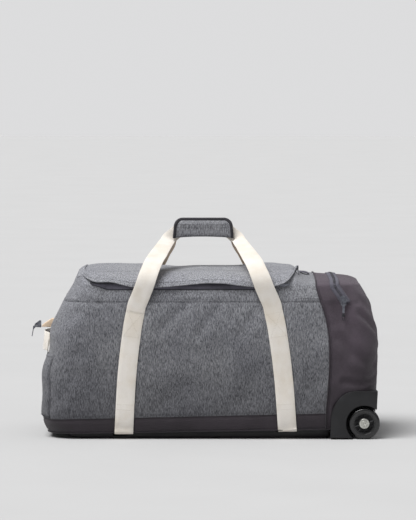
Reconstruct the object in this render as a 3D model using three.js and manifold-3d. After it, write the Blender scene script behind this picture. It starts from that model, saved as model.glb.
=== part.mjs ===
// A wheeled duffel bag: a soft main compartment with a zipped lid, a zipped pocket at the wheel end,
// two webbing carry handles joined by a padded wrap, a grab handle at the other end, two skid rails
// and two wheels. Sizes are in millimetres. +X points to the wheel end, -Y to the front and +Z up,
// and the origin is on the ground under the middle of the bag.
import * as THREE from "three";
import { mergeVertices } from "three/addons/utils/BufferGeometryUtils.js";
import Module from "manifold-3d";

const wasm = await Module();
wasm.setup();

// ---- Driving dimensions ----
const GAP = 0.4; // between neighbouring pieces
const SEAM = 3; // between panels that meet at an upright seam
const FABRIC = 2.4; // lined and foam-backed fabric
const CORNER = 70; // plan radius of the bag's upright corners
const BASE = { left: -400, right: 271, leftZ: 12, rightZ: 23 }; // the base rises towards the wheels
const STRIP_TOP = 46; // height of the nylon base strip above the ground at the left end
const STRIP_RISE = 16; // how much higher the strip's top edge is at the wheel end
const YOKE_Z = 325; // seam between the side panel and the yoke
const YOKE_TOP = 361;
const POCKET_TOP_Z = 364; // where the wheel-end pocket's walls meet its top
const LID = { left: -308, right: 205, foot: 364, top: 408, half: 184, power: 2.6, backHalf: 162 };
const HANDLE = { centre: -17, width: 44, thick: 2.2, pivotZ: 304 };
const WRAP = { width: 138, bottom: 476, top: 522, halfDepth: 17, pad: 5.8, binding: 1.5 };
const WHEEL = { x: 361.4, radius: 37.4, outerY: -178, width: 26, capRadius: 12.7, archRadius: 43.5 };
const AXLE_RADIUS = 4;
const HOUSING = { left: 281, right: 393, top: 114.5, bottom: 4, outerY: -181.2, depth: 36, wall: 3 };
const HOUSING_INNER = -HOUSING.outerY - HOUSING.depth; // from the middle to their inner faces
const RAIL = { left: -335, right: 279, innerY: 132, outerY: 148 };

// ---- Outlines of the stuffed bag ----
// A smooth curve through [position, value] stations, as a function.
function through(stations) {
  const slope = (i) => {
    const before = stations[Math.max(i - 1, 0)];
    const after = stations[Math.min(i + 1, stations.length - 1)];
    return (after[1] - before[1]) / (after[0] - before[0]);
  };
  return (at) => {
    const last = stations.length - 2;
    const found = stations.findIndex((s, i) => i <= last && at <= stations[i + 1][0]);
    const i = found < 0 ? last : found;
    const [a, b] = [stations[i], stations[i + 1]];
    const span = b[0] - a[0];
    const t = Math.min(Math.max((at - a[0]) / span, 0), 1);
    const rise = (1 + 2 * t) * (1 - t) ** 2 * a[1] + t * t * (3 - 2 * t) * b[1];
    return rise + t * (1 - t) * span * ((1 - t) * slope(i) - t * slope(i + 1));
  };
}
const leftEdge = through([
  [12, -376], [40, -391], [110, -396], [170, -396], [205, -386], [262, -381], [323, -353], [392, -314],
]);
const rightEdge = through([
  [20, 386], [60, 391], [115, 392], [262, 391], [300, 383], [342, 369], [366, 353], [385, 330],
]);
const halfDepth = through([
  [12, 168], [40, 179], [110, 181], [300, 181], [330, 179], [350, 176], [364, 172], [382, 164],
]);
// The seam between the main compartment and the wheel-end pocket.
const boundary = through([
  [23, 271], [60, 271], [120, 276], [186, 279], [255, 276], [310, 264], [330, 256], [392, 246],
]);
const alongBase = (x) => (x - BASE.left) / (BASE.right - BASE.left);
const baseZ = (x) => BASE.leftZ + (BASE.rightZ - BASE.leftZ) * alongBase(x);
const stripTop = (x) => STRIP_TOP + STRIP_RISE * alongBase(x);

// ---- Solids ----
const mix = THREE.MathUtils.lerp;
const vector = (x, y, z) => new THREE.Vector3(x, y, z);

function geometryOf(corners, triangles) {
  const geometry = new THREE.BufferGeometry();
  geometry.setAttribute("position", new THREE.Float32BufferAttribute(corners.flatMap((p) => p.toArray()), 3));
  geometry.setIndex(triangles);
  return geometry;
}

// A closed skin round rings of corners, each ring the same length and turning the same way.
function loft(rings) {
  const count = rings[0].length;
  const corners = rings.flat();
  const triangles = [];
  for (let r = 0; r + 1 < rings.length; r += 1) {
    for (let k = 0; k < count; k += 1) {
      const [a, b] = [r * count + k, r * count + ((k + 1) % count)];
      triangles.push(a, b, b + count, a, b + count, a + count);
    }
  }
  const end = (rings.length - 1) * count;
  for (let k = 1; k + 1 < count; k += 1) {
    triangles.push(0, k + 1, k, end, end + k, end + k + 1);
  }
  return upright(geometryOf(corners, triangles));
}

// A sheet of even thickness whose outer face is outer(u, v), with u and v from 0 to 1.
function sheet(outer, columns, rows, thickness = FABRIC) {
  const step = 1e-3;
  const normal = (u, v) => {
    const du = outer(Math.min(u + step, 1), v).sub(outer(Math.max(u - step, 0), v));
    const dv = outer(u, Math.min(v + step, 1)).sub(outer(u, Math.max(v - step, 0)));
    return du.cross(dv).normalize();
  };
  const corners = [];
  for (const depth of [0, thickness]) {
    for (let j = 0; j <= rows; j += 1) {
      for (let i = 0; i <= columns; i += 1) {
        const [u, v] = [i / columns, j / rows];
        corners.push(outer(u, v).addScaledVector(normal(u, v), -depth));
      }
    }
  }
  const at = (layer, i, j) => layer * (rows + 1) * (columns + 1) + j * (columns + 1) + i;
  const triangles = [];
  const quad = (a, b, c, d) => triangles.push(a, b, c, a, c, d);
  for (let j = 0; j < rows; j += 1) {
    for (let i = 0; i < columns; i += 1) {
      quad(at(0, i, j), at(0, i + 1, j), at(0, i + 1, j + 1), at(0, i, j + 1));
      quad(at(1, i, j), at(1, i, j + 1), at(1, i + 1, j + 1), at(1, i + 1, j));
    }
    quad(at(0, 0, j), at(0, 0, j + 1), at(1, 0, j + 1), at(1, 0, j));
    quad(at(0, columns, j), at(1, columns, j), at(1, columns, j + 1), at(0, columns, j + 1));
  }
  for (let i = 0; i < columns; i += 1) {
    quad(at(0, i, 0), at(1, i, 0), at(1, i + 1, 0), at(0, i + 1, 0));
    quad(at(0, i, rows), at(0, i + 1, rows), at(1, i + 1, rows), at(1, i, rows));
  }
  return upright(geometryOf(corners, triangles));
}

// A flat band of webbing along [x, y, z, tilt] stations; tilt turns its outer face from -Y (0) up to +Z (90).
function band(stations, width, thickness, steps) {
  const points = stations.map(([x, y, z]) => vector(x, y, z));
  const curve = new THREE.CatmullRomCurve3(points, false, "centripetal");
  const rings = [];
  for (let i = 0; i <= steps; i += 1) {
    const t = i / steps;
    const place = t * (stations.length - 1);
    const before = Math.min(Math.floor(place), stations.length - 2);
    const tilt = THREE.MathUtils.degToRad(mix(stations[before][3], stations[before + 1][3], place - before));
    const tangent = curve.getTangent(t);
    const side = tangent.clone().cross(vector(0, -Math.cos(tilt), Math.sin(tilt))).normalize();
    const out = side.clone().cross(tangent).normalize();
    const corner = (s, o) => {
      const middle = curve.getPoint(t).addScaledVector(side, (s * width) / 2);
      return middle.addScaledVector(out, (o * thickness) / 2);
    };
    rings.push([corner(-1, -1), corner(1, -1), corner(1, 1), corner(-1, 1)]);
  }
  return loft(rings);
}

// An outline in the XZ plane, as thick as from y0 up to y1.
function slab(shape, y0, y1, curveSegments = 8) {
  const geometry = new THREE.ExtrudeGeometry(shape, { depth: y1 - y0, bevelEnabled: false, curveSegments });
  return geometry.rotateX(Math.PI / 2).translate(0, y1, 0);
}

function outlineOf(points) {
  return new THREE.Shape(points.map(([x, z]) => new THREE.Vector2(x, z)));
}

// A turned piece about the Y axis, from a [radius, y] profile.
function turned(profile, segments = 32) {
  return upright(new THREE.LatheGeometry(profile.map(([r, y]) => new THREE.Vector2(r, y)), segments));
}

function ring(inner, outer, y0, y1, segments = 32) {
  return turned([[inner, y0], [outer, y0], [outer, y1], [inner, y1], [inner, y0]], segments);
}

function disc(radius, y0, y1, segments = 32) {
  return turned([[0, y0], [radius, y0], [radius, y1], [0, y1]], segments);
}

function solidOf(geometry) {
  const bare = geometry.clone();
  bare.deleteAttribute("normal");
  bare.deleteAttribute("uv");
  const merged = mergeVertices(bare, 1e-3);
  return new wasm.Manifold(new wasm.Mesh({
    numProp: 3,
    vertProperties: merged.attributes.position.array,
    triVerts: new Uint32Array(merged.index.array),
  }));
}

function geometryOfSolid(solid) {
  const mesh = solid.getMesh();
  const geometry = new THREE.BufferGeometry();
  geometry.setAttribute("position", new THREE.BufferAttribute(mesh.vertProperties, 3));
  geometry.setIndex(new THREE.BufferAttribute(mesh.triVerts, 1));
  return geometry;
}

// The same geometry with its faces pointing out.
function upright(geometry) {
  if (solidOf(geometry).volume() > 0) return geometry;
  const index = geometry.index.array;
  for (let i = 0; i < index.length; i += 3) {
    [index[i + 1], index[i + 2]] = [index[i + 2], index[i + 1]];
  }
  return geometry;
}

function cut(geometry, ...tools) {
  return geometryOfSolid(tools.reduce((left, tool) => left.subtract(solidOf(tool)), solidOf(geometry)));
}

function join(geometry, ...others) {
  return geometryOfSolid(others.reduce((sum, other) => sum.add(solidOf(other)), solidOf(geometry)));
}

// The same geometry on the back of the bag.
function mirrored(geometry) {
  return geometryOfSolid(solidOf(geometry).mirror([0, 1, 0]));
}

// ---- Materials ----
function finish(color, roughness, metalness = 0) {
  return new THREE.MeshStandardMaterial({ color, roughness, metalness });
}
const LOOK = {
  heather: finish(0x6f7075, 0.95),
  nylon: finish(0x4b444a, 0.7),
  webbing: finish(0xdcd6cd, 0.85),
  lining: finish(0x3b3a40, 0.9),
  tape: finish(0x5d5c68, 0.75),
  binding: finish(0x3a3a3f, 0.8),
  plastic: finish(0x242426, 0.45),
  tyre: finish(0x1c1c1f, 0.25),
  steel: finish(0xb9b9b4, 0.3, 0.9),
  gunmetal: finish(0x3c3e44, 0.35, 0.9),
  board: finish(0x2c2c2e, 0.6),
};

const duffel = new THREE.Group();
function add(name, geometry, look) {
  const mesh = new THREE.Mesh(geometry, LOOK[look]);
  mesh.name = name;
  duffel.add(mesh);
}
function addPair(name, geometry, look) {
  add(`front_${name}`, geometry, look);
  add(`back_${name}`, mirrored(geometry), look);
}

// ---- Main compartment ----
// A patch of the bag's front face between two upright edges and two level ones, each a function.
function facePatch(left, right, bottom, top, out = 0, columns = 4, rows = 6) {
  return sheet((u, v) => {
    const guess = mix(bottom(0), top(0), v);
    const x = mix(left(guess), right(guess), u);
    const z = mix(bottom(x), top(x), v);
    return vector(mix(left(z), right(z), u), -halfDepth(z) - out, z);
  }, columns, rows);
}

// A patch of an end wall with its two upright corners; edge(z) is the wall's own place and side is -1 or 1.
function endPatch(edge, side, bottom, top, out = 0, rows = 8, reach = 1, thickness = FABRIC) {
  const place = (along, z) => {
    const half = halfDepth(z);
    const straight = half - CORNER;
    const arc = (CORNER * Math.PI) / 2;
    const s = (along * 2 - 1) * (straight + arc) * reach;
    const turn = Math.max(Math.abs(s) - straight, 0) / CORNER;
    const y = Math.sign(s) * (Math.min(Math.abs(s), straight) + (CORNER + out) * Math.sin(turn));
    return vector(edge(z) - side * (CORNER - (CORNER + out) * Math.cos(turn)), y, z);
  };
  const outer = (u, v) => place(side < 0 ? 1 - u : u, mix(bottom, top, v));
  return sheet(outer, 16, rows, thickness);
}

function addMainCompartment() {
  const cornerSeam = (z) => leftEdge(z) + CORNER + SEAM;
  const pocketSeam = (z) => boundary(z) - GAP;
  const strip = facePatch(cornerSeam, pocketSeam, baseZ, (x) => stripTop(x) - GAP, 0, 4, 3);
  const panel = facePatch(cornerSeam, pocketSeam, stripTop, () => YOKE_Z - GAP);
  const yoke = facePatch(cornerSeam, pocketSeam, () => YOKE_Z, () => YOKE_TOP, 0, 4, 4);
  const backYoke = facePatch(cornerSeam, pocketSeam, () => YOKE_Z, () => 381, 0, 4, 6);
  addPair("base_strip", strip, "nylon");
  addPair("side_panel", panel, "heather");
  add("front_yoke", yoke, "heather");
  add("back_yoke", mirrored(backYoke), "heather");
  add("left_end_panel", endPatch(leftEdge, -1, BASE.leftZ, 372, 0, 9), "heather");
  add("left_end_patch", endPatch(leftEdge, -1, 22, 200, FABRIC + 2.5, 7, 0.72), "heather");
  add("floor_panel", floorSheet(0, FABRIC), "nylon");
  add("base_board", floorSheet(5, 3), "board");
}

// A level sheet over the bag's floor, inset from its walls, with the left end's rounded corners.
function floorSheet(inset, thickness) {
  const left = leftEdge(BASE.leftZ) + FABRIC + 4 + inset;
  const right = boundary(BASE.rightZ) - 1 - inset;
  const half = (x) => {
    const near = Math.min(Math.max(CORNER - (x - left), 0), CORNER);
    return halfDepth(BASE.leftZ) - FABRIC - 4 - inset - (CORNER - Math.sqrt(CORNER ** 2 - near ** 2));
  };
  const lift = inset > 0 ? FABRIC + GAP : 0;
  return sheet((u, v) => {
    const x = mix(left, right, u ** 2);
    return vector(x, mix(half(x), -half(x), v), baseZ(x) + lift);
  }, 8, 1, thickness);
}

// ---- Wheel-end pocket ----
const ZIP = { topX: 290, gap: 8, tape: 26, lowX: 311, lowZ: 333 }; // the zip's line on the pocket

// A patch of the pocket's rounded top between two places along the bag. half(x) and height(x) give the top's
// half width and rise; from and to are shares of the way over it, from front to back.
function topPatch(left, right, foot, half, height, out = 0, columns = 5, from = 0, to = 1) {
  return sheet((u, v) => {
    const x = mix(left, right, u);
    const turn = Math.PI * mix(from, to, v);
    const y = -Math.sign(Math.cos(turn)) * Math.abs(Math.cos(turn)) ** 0.7 * (half(x) + out);
    return vector(x, y, foot + GAP + Math.sin(turn) ** 0.8 * (height(x) + out));
  }, columns, 14);
}

function addWheelEndPocket() {
  const cornerSeam = (z) => rightEdge(z) - CORNER - SEAM;
  const wall = facePatch(boundary, cornerSeam, () => BASE.rightZ, () => POCKET_TOP_Z, 0, 2, 8);
  const notch = housingBlock(1.5);
  addPair("pocket_wall", cut(wall, notch), "nylon");
  const end = endPatch(rightEdge, 1, BASE.rightZ, POCKET_TOP_Z, 0, 9);
  add("pocket_end", cut(end, notch, mirrored(notch)), "nylon");
  // Towards the wheel end the top gets narrower and lower.
  const half = (x) => halfDepth(POCKET_TOP_Z) - 90 * Math.max((x - 300) / 60, 0) ** 2;
  const height = (x) => 26 - 14 * Math.max((x - 296) / 50, 0) ** 2;
  const innerLeft = boundary(POCKET_TOP_Z) + 2;
  const inner = topPatch(innerLeft, ZIP.topX - ZIP.gap / 2, POCKET_TOP_Z, half, height, 0, 2);
  const outer = topPatch(ZIP.topX + ZIP.gap / 2, 350, POCKET_TOP_Z, half, height, 0, 5);
  add("pocket_top_inner", inner, "nylon");
  add("pocket_top_outer", outer, "nylon");
  const tape = topPatch(ZIP.topX - ZIP.tape / 2, ZIP.topX + ZIP.tape / 2, POCKET_TOP_Z, half, height,
    FABRIC + 1, 2, 0.03, 0.97);
  add("pocket_zip_top", tape, "tape");
  const slope = (ZIP.lowX - ZIP.topX) / (ZIP.lowZ - POCKET_TOP_Z);
  const tapeX = (side) => (z) => ZIP.topX + slope * (z - POCKET_TOP_Z) + (side * ZIP.tape) / 2;
  const lowTape = facePatch(tapeX(-1), tapeX(1), () => ZIP.lowZ - 12, () => POCKET_TOP_Z - 1, FABRIC, 1, 3);
  addPair("pocket_zip", lowTape, "tape");
  const floor = sheet((u, v) => {
    const x = mix(boundary(BASE.rightZ) + 3, rightEdge(BASE.rightZ) - FABRIC - 24, u);
    return vector(x, mix(1, -1, v) * (HOUSING_INNER - 3), BASE.rightZ + 1);
  }, 1, 1);
  add("pocket_floor", floor, "nylon");
  const divider = sheet((u, v) => {
    const z = mix(BASE.rightZ + 8, 376, v);
    return vector(boundary(z) - 2, mix(-1, 1, u) * (halfDepth(z) - FABRIC - 2), z);
  }, 1, 6, 1.2);
  add("pocket_divider", divider, "lining");
  const stiffener = endPatch((z) => rightEdge(z) - FABRIC - 2, 1, 122, 330, -GAP, 5, 0.6, 2);
  add("wheel_end_board", stiffener, "board");
}

// ---- Lid ----
// How much lower and narrower the lid gets at its left end.
const lidDroop = (x) => 14 * Math.max((LID.left + 40 - x) / 40, 0) ** 2;
const lidPinch = (x) => 14 * Math.max((LID.left + 32 - x) / 32, 0) ** 2;

// The lid's outer face across the bag: y from the front edge (-1) to the back (1).
function lidPoint(x, across, out = 0) {
  const y = across * LID.half;
  const rise = (1 - Math.min(Math.abs(across), 1) ** LID.power) ** (1 / LID.power);
  const narrow = (LID.half - lidPinch(x) + out) / LID.half;
  return vector(x, y * narrow, LID.foot - lidDroop(x) + rise * (LID.top - LID.foot + out));
}

// A strip of the lid between two places across it, closer spaced towards the front edge.
function lidStrip(left, right, from, to, out, columns, rows, thickness = FABRIC) {
  const place = (u, v) => {
    const across = Math.sin(mix(Math.asin(from), Math.asin(to), v));
    return lidPoint(mix(left, right, u ** 2), across, out);
  };
  return sheet(place, columns, rows, thickness);
}

function addLid() {
  const backEdge = LID.backHalf / LID.half;
  add("lid_panel", lidStrip(LID.left, LID.right, -0.93, backEdge, 0, 8, 14), "heather");
  add("lid_flap", lidStrip(LID.left, LID.right, -1, -0.935, 0.6, 8, 4), "heather");
  const lining = lidStrip(LID.left + 12, LID.right - 8, -0.9, backEdge - 0.03, -FABRIC - 3, 8, 10, 1);
  add("lid_lining", lining, "lining");
  const deck = sheet(
    (u, v) => lidPoint(mix(LID.right + 2, boundary(392), u), Math.sin(mix(-1.05, 1.05, v)), -6), 2, 10);
  add("top_deck", deck, "heather");
  const endFlap = sheet((u, v) => {
    const across = Math.sin(mix(1.1, -1.1, u));
    const edge = lidPoint(LID.left - 0.8, across, 0.6);
    return edge.add(vector(-21 * v, 0, -20 * v));
  }, 10, 2);
  add("lid_end_flap", endFlap, "heather");
  const tapeFoot = -halfDepth(YOKE_TOP - 12) - 3;
  const tape = sheet((u, v) => {
    const x = mix(LID.left + 30, LID.right - 4, u);
    return vector(x, tapeFoot + 3 * v, mix(YOKE_TOP - 18, YOKE_TOP - 5, v));
  }, 1, 1, 1);
  add("main_zip_tape", tape, "tape");
  // The slider is at the wheel end of the zip, with its pull folded flat over it.
  const body = slab(outlineOf([[178, 363], [190, 362], [190, 373], [178, 372]]), -179.5, -176.7);
  const foldedPull = slab(outlineOf([[186, 365], [200, 365], [200, 370], [186, 370]]), -180.7, -179.9);
  const hasp = slab(outlineOf([[184, 365.5], [187.5, 365.5], [187.5, 369.5], [184, 369.5]]), -180.7, -179);
  add("main_slider", join(body, foldedPull, hasp), "gunmetal");
  const topTab = sheet((u, v) => vector(mix(212, 235, u), mix(-12, 12, v), 406.5), 1, 1, 3.5);
  add("zip_garage", topTab, "binding");
}

// ---- Carry handles ----
// Half the spread of the two legs of a handle at a height on the bag's face.
const legSpread = through([[14, 194], [170, 183], [248, 173], [304, 163], [362, 142]]);

function addCarryHandles() {
  const sewn = (side) => {
    const x = (z) => HANDLE.centre + side * legSpread(z);
    const low = baseZ(x(20));
    const out = 1 + HANDLE.thick / 2;
    const half = [[HANDLE.pivotZ - 2, 0], [240, 0], [170, 0], [100, 0], [42, 0], [27, -25]].map(
      ([z, tilt]) => [x(z), -halfDepth(z) - out, z, tilt]);
    half.push([x(18), -175, low - 0.5, -60], [x(16), -167, low - 2.6, -85], [x(14), -150, low - 2.6, -90],
      [x(14), -120, low - 2.6, -90]);
    const back = half.map(([px, py, pz, tilt]) => [px, -py, pz, -180 - tilt]).reverse();
    return band([...half, ...back], HANDLE.width, HANDLE.thick, 38);
  };
  add("left_strap", sewn(-1), "webbing");
  add("right_strap", sewn(1), "webbing");
  // One leg of the free loop, from its seam up over the shoulder into the wrap: spread, y, z and tilt.
  const leg = [
    [162.6, -183.8, HANDLE.pivotZ + 2, 0], [160, -184.6, 318, 0], [151, -187.6, 340, 0],
    [142, -190.2, 362, 0], [136, -189, 383, 25], [131, -176, 402, 55], [124, -153, 418, 60],
    [114, -113, 434, 60], [103, -73, 449, 55], [90, -34, 463, 36], [78, -9.5, 475, 8], [58, -7, 489, 0],
    [28, -7, 497, 0], [0, -7, 497, 0],
  ];
  const rightLeg = leg.slice(0, -1).reverse();
  const loop = [
    ...leg.map(([spread, y, z, tilt]) => [HANDLE.centre - spread, y, z, tilt]),
    ...rightLeg.map(([spread, y, z, tilt]) => [HANDLE.centre + spread, y, z, tilt]),
  ];
  addPair("handle_webbing", band(loop, HANDLE.width, HANDLE.thick, 60), "webbing");
  // Half of the folded wrap: a pad in front of the webbing, with a binding over the top of both halves.
  const [x0, x1] = [HANDLE.centre - WRAP.width / 2, HANDLE.centre + WRAP.width / 2];
  const [z0, z1, r] = [WRAP.bottom, WRAP.top, 8];
  const outline = outlineOf([
    [x0, z0 + r], [x0 + r, z0], [x1 - r, z0], [x1, z0 + r],
    [x1, z1 - r], [x1 - r, z1], [x0 + r, z1], [x0, z1 - r],
  ]);
  const roof = z1 - WRAP.binding;
  const hollow = outlineOf([[x0 - 1, z0 - 1], [x1 + 1, z0 - 1], [x1 + 1, roof], [x0 - 1, roof]]);
  const pad = slab(outline, -WRAP.halfDepth, -GAP / 2);
  addPair("wrap_half", cut(pad, slab(hollow, -WRAP.halfDepth + WRAP.pad, 1)), "heather");
}

// ---- Grab handle and zip end at the left ----
function addLeftEnd() {
  const grabZ = 224;
  const face = leftEdge(grabZ);
  // The free band bows out a little from the end between its sewn ends: [distance out, y].
  const bow = [[0, -78], [-3, -66], [-11, -40], [-14, 0], [-11, 40], [-3, 66], [0, 78]];
  const rings = bow.map(([out, y]) => {
    const corner = (depth, z) => vector(leftEdge(z) - 2 + out - depth, y, z);
    const [z0, z1] = [grabZ - HANDLE.width / 2, grabZ + HANDLE.width / 2];
    const [near, far] = [0, HANDLE.thick];
    return [corner(near, z0), corner(far, z0), corner(far, z1), corner(near, z1)];
  });
  add("grab_handle", loft(rings), "webbing");
  const anchor = sheet((u, v) => {
    const z = grabZ + mix(-1, 1, v) * (HANDLE.width / 2);
    return vector(leftEdge(z) - 3.4, mix(-80, -106, u), z);
  }, 1, 2, 2);
  addPair("grab_anchor", mirrored(anchor), "webbing");
  // An outline that stands out from the bag's end, from [distance out, z] points.
  const standing = (points) => outlineOf(points.map(([out, z]) => [face - out, z]));
  const wall = (z) => face - leftEdge(z) + GAP;
  const tab = slab(standing([[wall(253), 253], [wall(273), 273], [8, 274], [26, 257], [26, 253]]), -13, 13);
  add("zip_end_tab", tab, "webbing");
  const slider = slab(standing([[27, 252], [27, 268], [31, 269], [43, 260], [43, 253]]), -4, 4);
  const slot = slab(standing([[41.5, 255], [41.5, 258], [37, 258], [37, 255]]), -7, 7);
  add("end_slider", cut(slider, slot), "gunmetal");
  const arm = standing([[38.2, 255.6], [38.2, 257.4], [46.4, 255], [47, 247], [45.4, 247]]);
  const tail = standing([[45.2, 249], [46.8, 249], [50, 231], [48.4, 231]]);
  const pin = disc(0.9, -5.9, 5.9, 8).translate(face - 39.3, 0, 256.5);
  add("end_pull", join(pin, slab(arm, -6, -4.7), slab(arm, 4.7, 6), slab(tail, -5.4, 5.4)), "gunmetal");
}

// ---- Base: skid rails, wheel housings and wheels ----
function addRails() {
  const strapX = [-1, 1].map((side) => HANDLE.centre + side * legSpread(16));
  const notch = HANDLE.width / 2 + 1;
  const stations = [RAIL.left, RAIL.left + 24];
  strapX.forEach((x) => stations.push(x - notch - 0.5, x - notch, x + notch, x + notch + 0.5));
  stations.push(RAIL.right);
  const underStrap = (x) => strapX.some((s) => Math.abs(x - s) <= notch);
  const rings = stations.map((x, i) => {
    const top = baseZ(x) - GAP - (underStrap(x) ? HANDLE.thick + 2.4 : 0);
    const bottom = i === 0 ? 6 : 0;
    const [outer, inner] = [-RAIL.outerY, -RAIL.innerY];
    return [vector(x, outer, bottom), vector(x, inner, bottom), vector(x, inner, top), vector(x, outer, top)];
  });
  addPair("skid_rail", loft(rings), "plastic");
}

// The quarter-round outline of a wheel housing, grown or shrunk by an offset.
function housingOutline(grow) {
  const shape = new THREE.Shape();
  const [left, top] = [HOUSING.left - grow, HOUSING.top + grow];
  shape.moveTo(left, HOUSING.bottom - grow);
  shape.lineTo(left + 1, 48);
  shape.bezierCurveTo(left + 6, 92, 312 - grow, top, 340, top);
  shape.lineTo(HOUSING.right + grow, top);
  shape.lineTo(HOUSING.right - 2 + grow, 72);
  shape.lineTo(378, 62);
  shape.lineTo(378, 20);
  shape.lineTo(WHEEL.x, HOUSING.bottom - grow);
  shape.closePath();
  return shape;
}

function housingBlock(grow) {
  return slab(housingOutline(grow), HOUSING.outerY - grow, HOUSING.outerY + HOUSING.depth + 2 * grow);
}

const aroundAxle = (geometry) => geometry.translate(WHEEL.x, 0, WHEEL.radius);

function addHousings() {
  const { outerY, depth, wall } = HOUSING;
  const inner = outerY + depth;
  const arch = aroundAxle(disc(WHEEL.archRadius, outerY - 2, inner - wall, 48));
  const archWall = aroundAxle(disc(WHEEL.archRadius + wall, outerY - 4, inner + 4, 48));
  const hollow = cut(slab(housingOutline(-wall), outerY + wall, inner + 5), archWall);
  const bore = aroundAxle(disc(AXLE_RADIUS + 0.3, inner - wall - 4, inner + 5, 24));
  addPair("wheel_housing", cut(slab(housingOutline(0), outerY, inner), arch, hollow, bore), "plastic");
  const axle = join(
    aroundAxle(disc(AXLE_RADIUS, WHEEL.outerY + 4, inner + 3, 24)),
    aroundAxle(disc(8, inner + GAP, inner + 4.4, 6)),
  );
  addPair("axle", axle, "steel");
}

function addWheels() {
  const { outerY, width, radius, capRadius } = WHEEL;
  const inner = outerY + width;
  const shoulder = 7;
  const tread = [[23, outerY + 1.5], [radius - shoulder, outerY]];
  for (let i = 1; i <= 3; i += 1) {
    const turn = (i * Math.PI) / 8;
    tread.push([radius - shoulder + shoulder * Math.sin(turn), outerY + shoulder * (1 - Math.cos(turn))]);
  }
  tread.push([radius, outerY + shoulder], [radius, inner - shoulder]);
  tread.push([radius - shoulder / 3, inner - shoulder / 3], [radius - shoulder, inner], [23, inner - 1.5]);
  tread.push(tread[0]);
  addPair("tyre", aroundAxle(turned(tread, 36)), "tyre");
  const core = ring(11.4, 22.5, outerY + 4, inner - 3, 36);
  const holes = Array.from({ length: 10 }, (_, i) => {
    const turn = (i * Math.PI) / 5;
    return disc(2.6, outerY, inner + 2, 10).translate(17.6 * Math.cos(turn), 0, 17.6 * Math.sin(turn));
  });
  addPair("wheel_core", aroundAxle(cut(core, ...holes)), "plastic");
  addPair("bearing", aroundAxle(ring(AXLE_RADIUS + 0.1, 11, outerY + 6, inner - 5, 24)), "steel");
  const capFace = [[0, outerY - 0.5], [capRadius - 3, outerY - 0.5], [capRadius, outerY + 1.2]];
  const cap = turned([...capFace, [capRadius, outerY + 3.6], [0, outerY + 3.6]], 32);
  addPair("hub_cap", aroundAxle(cap), "steel");
}

// ---- Wheel-end pocket's slider and pull ----
function addPocketSlider() {
  const tilt = Math.atan2(ZIP.lowX - ZIP.topX, POCKET_TOP_Z - ZIP.lowZ);
  const face = -halfDepth(ZIP.lowZ - 12) - FABRIC - 0.8;
  const place = (geometry) => geometry.rotateY(-tilt).translate(ZIP.lowX, 0, ZIP.lowZ);
  const body = slab(outlineOf([[-6, -9], [6, -9], [7, 4], [4, 9], [-4, 9], [-7, 4]]), face - 3.2, face);
  const strip = (half, low, high, y0, y1) =>
    slab(outlineOf([[-half, low], [half, low], [half, high], [-half, high]]), face - y0, face - y1);
  const bridge = cut(strip(1.6, -5, 5, 7.6, 3), strip(4, -3.6, 3.6, 6.1, 3.2));
  add("pocket_slider", place(join(body, bridge)), "gunmetal");
  const frame = cut(strip(6.2, -14, 1.6, 5.3, 4), strip(4.6, -10, 0, 6, 3));
  const tail = slab(outlineOf([[-2.4, -38], [2.4, -38], [3.2, -13], [-3.2, -13]]), face - 5.5, face - 3.8);
  add("pocket_pull", join(frame, tail).translate(ZIP.lowX, 0, ZIP.lowZ), "gunmetal");
}

addMainCompartment();
addWheelEndPocket();
addLid();
addCarryHandles();
addLeftEnd();
addRails();
addHousings();
addWheels();
addPocketSlider();

// The origin is under the middle of the whole bag, its pulls and wheels included.
const extent = new THREE.Box3().setFromObject(duffel);
duffel.position.x = -(extent.min.x + extent.max.x) / 2;

export default duffel;
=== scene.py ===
"""A wheeled duffel bag: heather fabric body, plum nylon wheel end, cream webbing and a padded wrap.

Shapes are worked out in millimetres in the bag's own frame, whose x = 0 lies SHIFT from the
frame's x = 0, and become metres in the shared frame when a mesh is made.
"""

import math

import bpy
import numpy as np
from mathutils import Matrix, Vector, kdtree, noise


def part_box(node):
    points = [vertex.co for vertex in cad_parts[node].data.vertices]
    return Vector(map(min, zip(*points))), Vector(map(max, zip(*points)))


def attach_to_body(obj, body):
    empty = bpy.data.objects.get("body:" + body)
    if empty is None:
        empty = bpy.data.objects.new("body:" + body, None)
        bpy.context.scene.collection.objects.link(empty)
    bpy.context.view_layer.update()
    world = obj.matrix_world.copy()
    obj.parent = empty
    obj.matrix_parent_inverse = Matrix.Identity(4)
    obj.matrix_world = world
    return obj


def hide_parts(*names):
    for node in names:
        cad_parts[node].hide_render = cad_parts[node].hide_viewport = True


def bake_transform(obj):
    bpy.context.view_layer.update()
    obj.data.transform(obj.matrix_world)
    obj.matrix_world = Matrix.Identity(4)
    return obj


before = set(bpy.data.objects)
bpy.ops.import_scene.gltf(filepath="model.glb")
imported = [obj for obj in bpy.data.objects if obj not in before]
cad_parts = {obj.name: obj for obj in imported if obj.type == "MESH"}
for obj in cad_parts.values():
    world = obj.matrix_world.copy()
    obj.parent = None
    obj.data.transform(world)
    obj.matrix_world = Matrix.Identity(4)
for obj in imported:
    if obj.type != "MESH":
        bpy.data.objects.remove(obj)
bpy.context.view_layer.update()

# ---- Driving dimensions, from the frame ----
MM = 0.001
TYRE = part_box("front_tyre")
WHEEL_X = 361.4  # wheel centre in the bag's own frame
SHIFT = (TYRE[0].x + TYRE[1].x) / 2 / MM - WHEEL_X
WHEEL_RADIUS = (TYRE[1].z - TYRE[0].z) / 2 / MM
WHEEL_OUTER = TYRE[0].y / MM
WHEEL_WIDTH = (TYRE[1].y - TYRE[0].y) / MM
CORNER = 70  # plan radius of the bag's upright corners
YOKE_Z = 327  # seam between the side panels and the yokes
WALL_TOP = 364
LID_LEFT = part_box("lid_panel")[0].x / MM - SHIFT
LID_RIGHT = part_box("lid_panel")[1].x / MM - SHIFT
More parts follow.
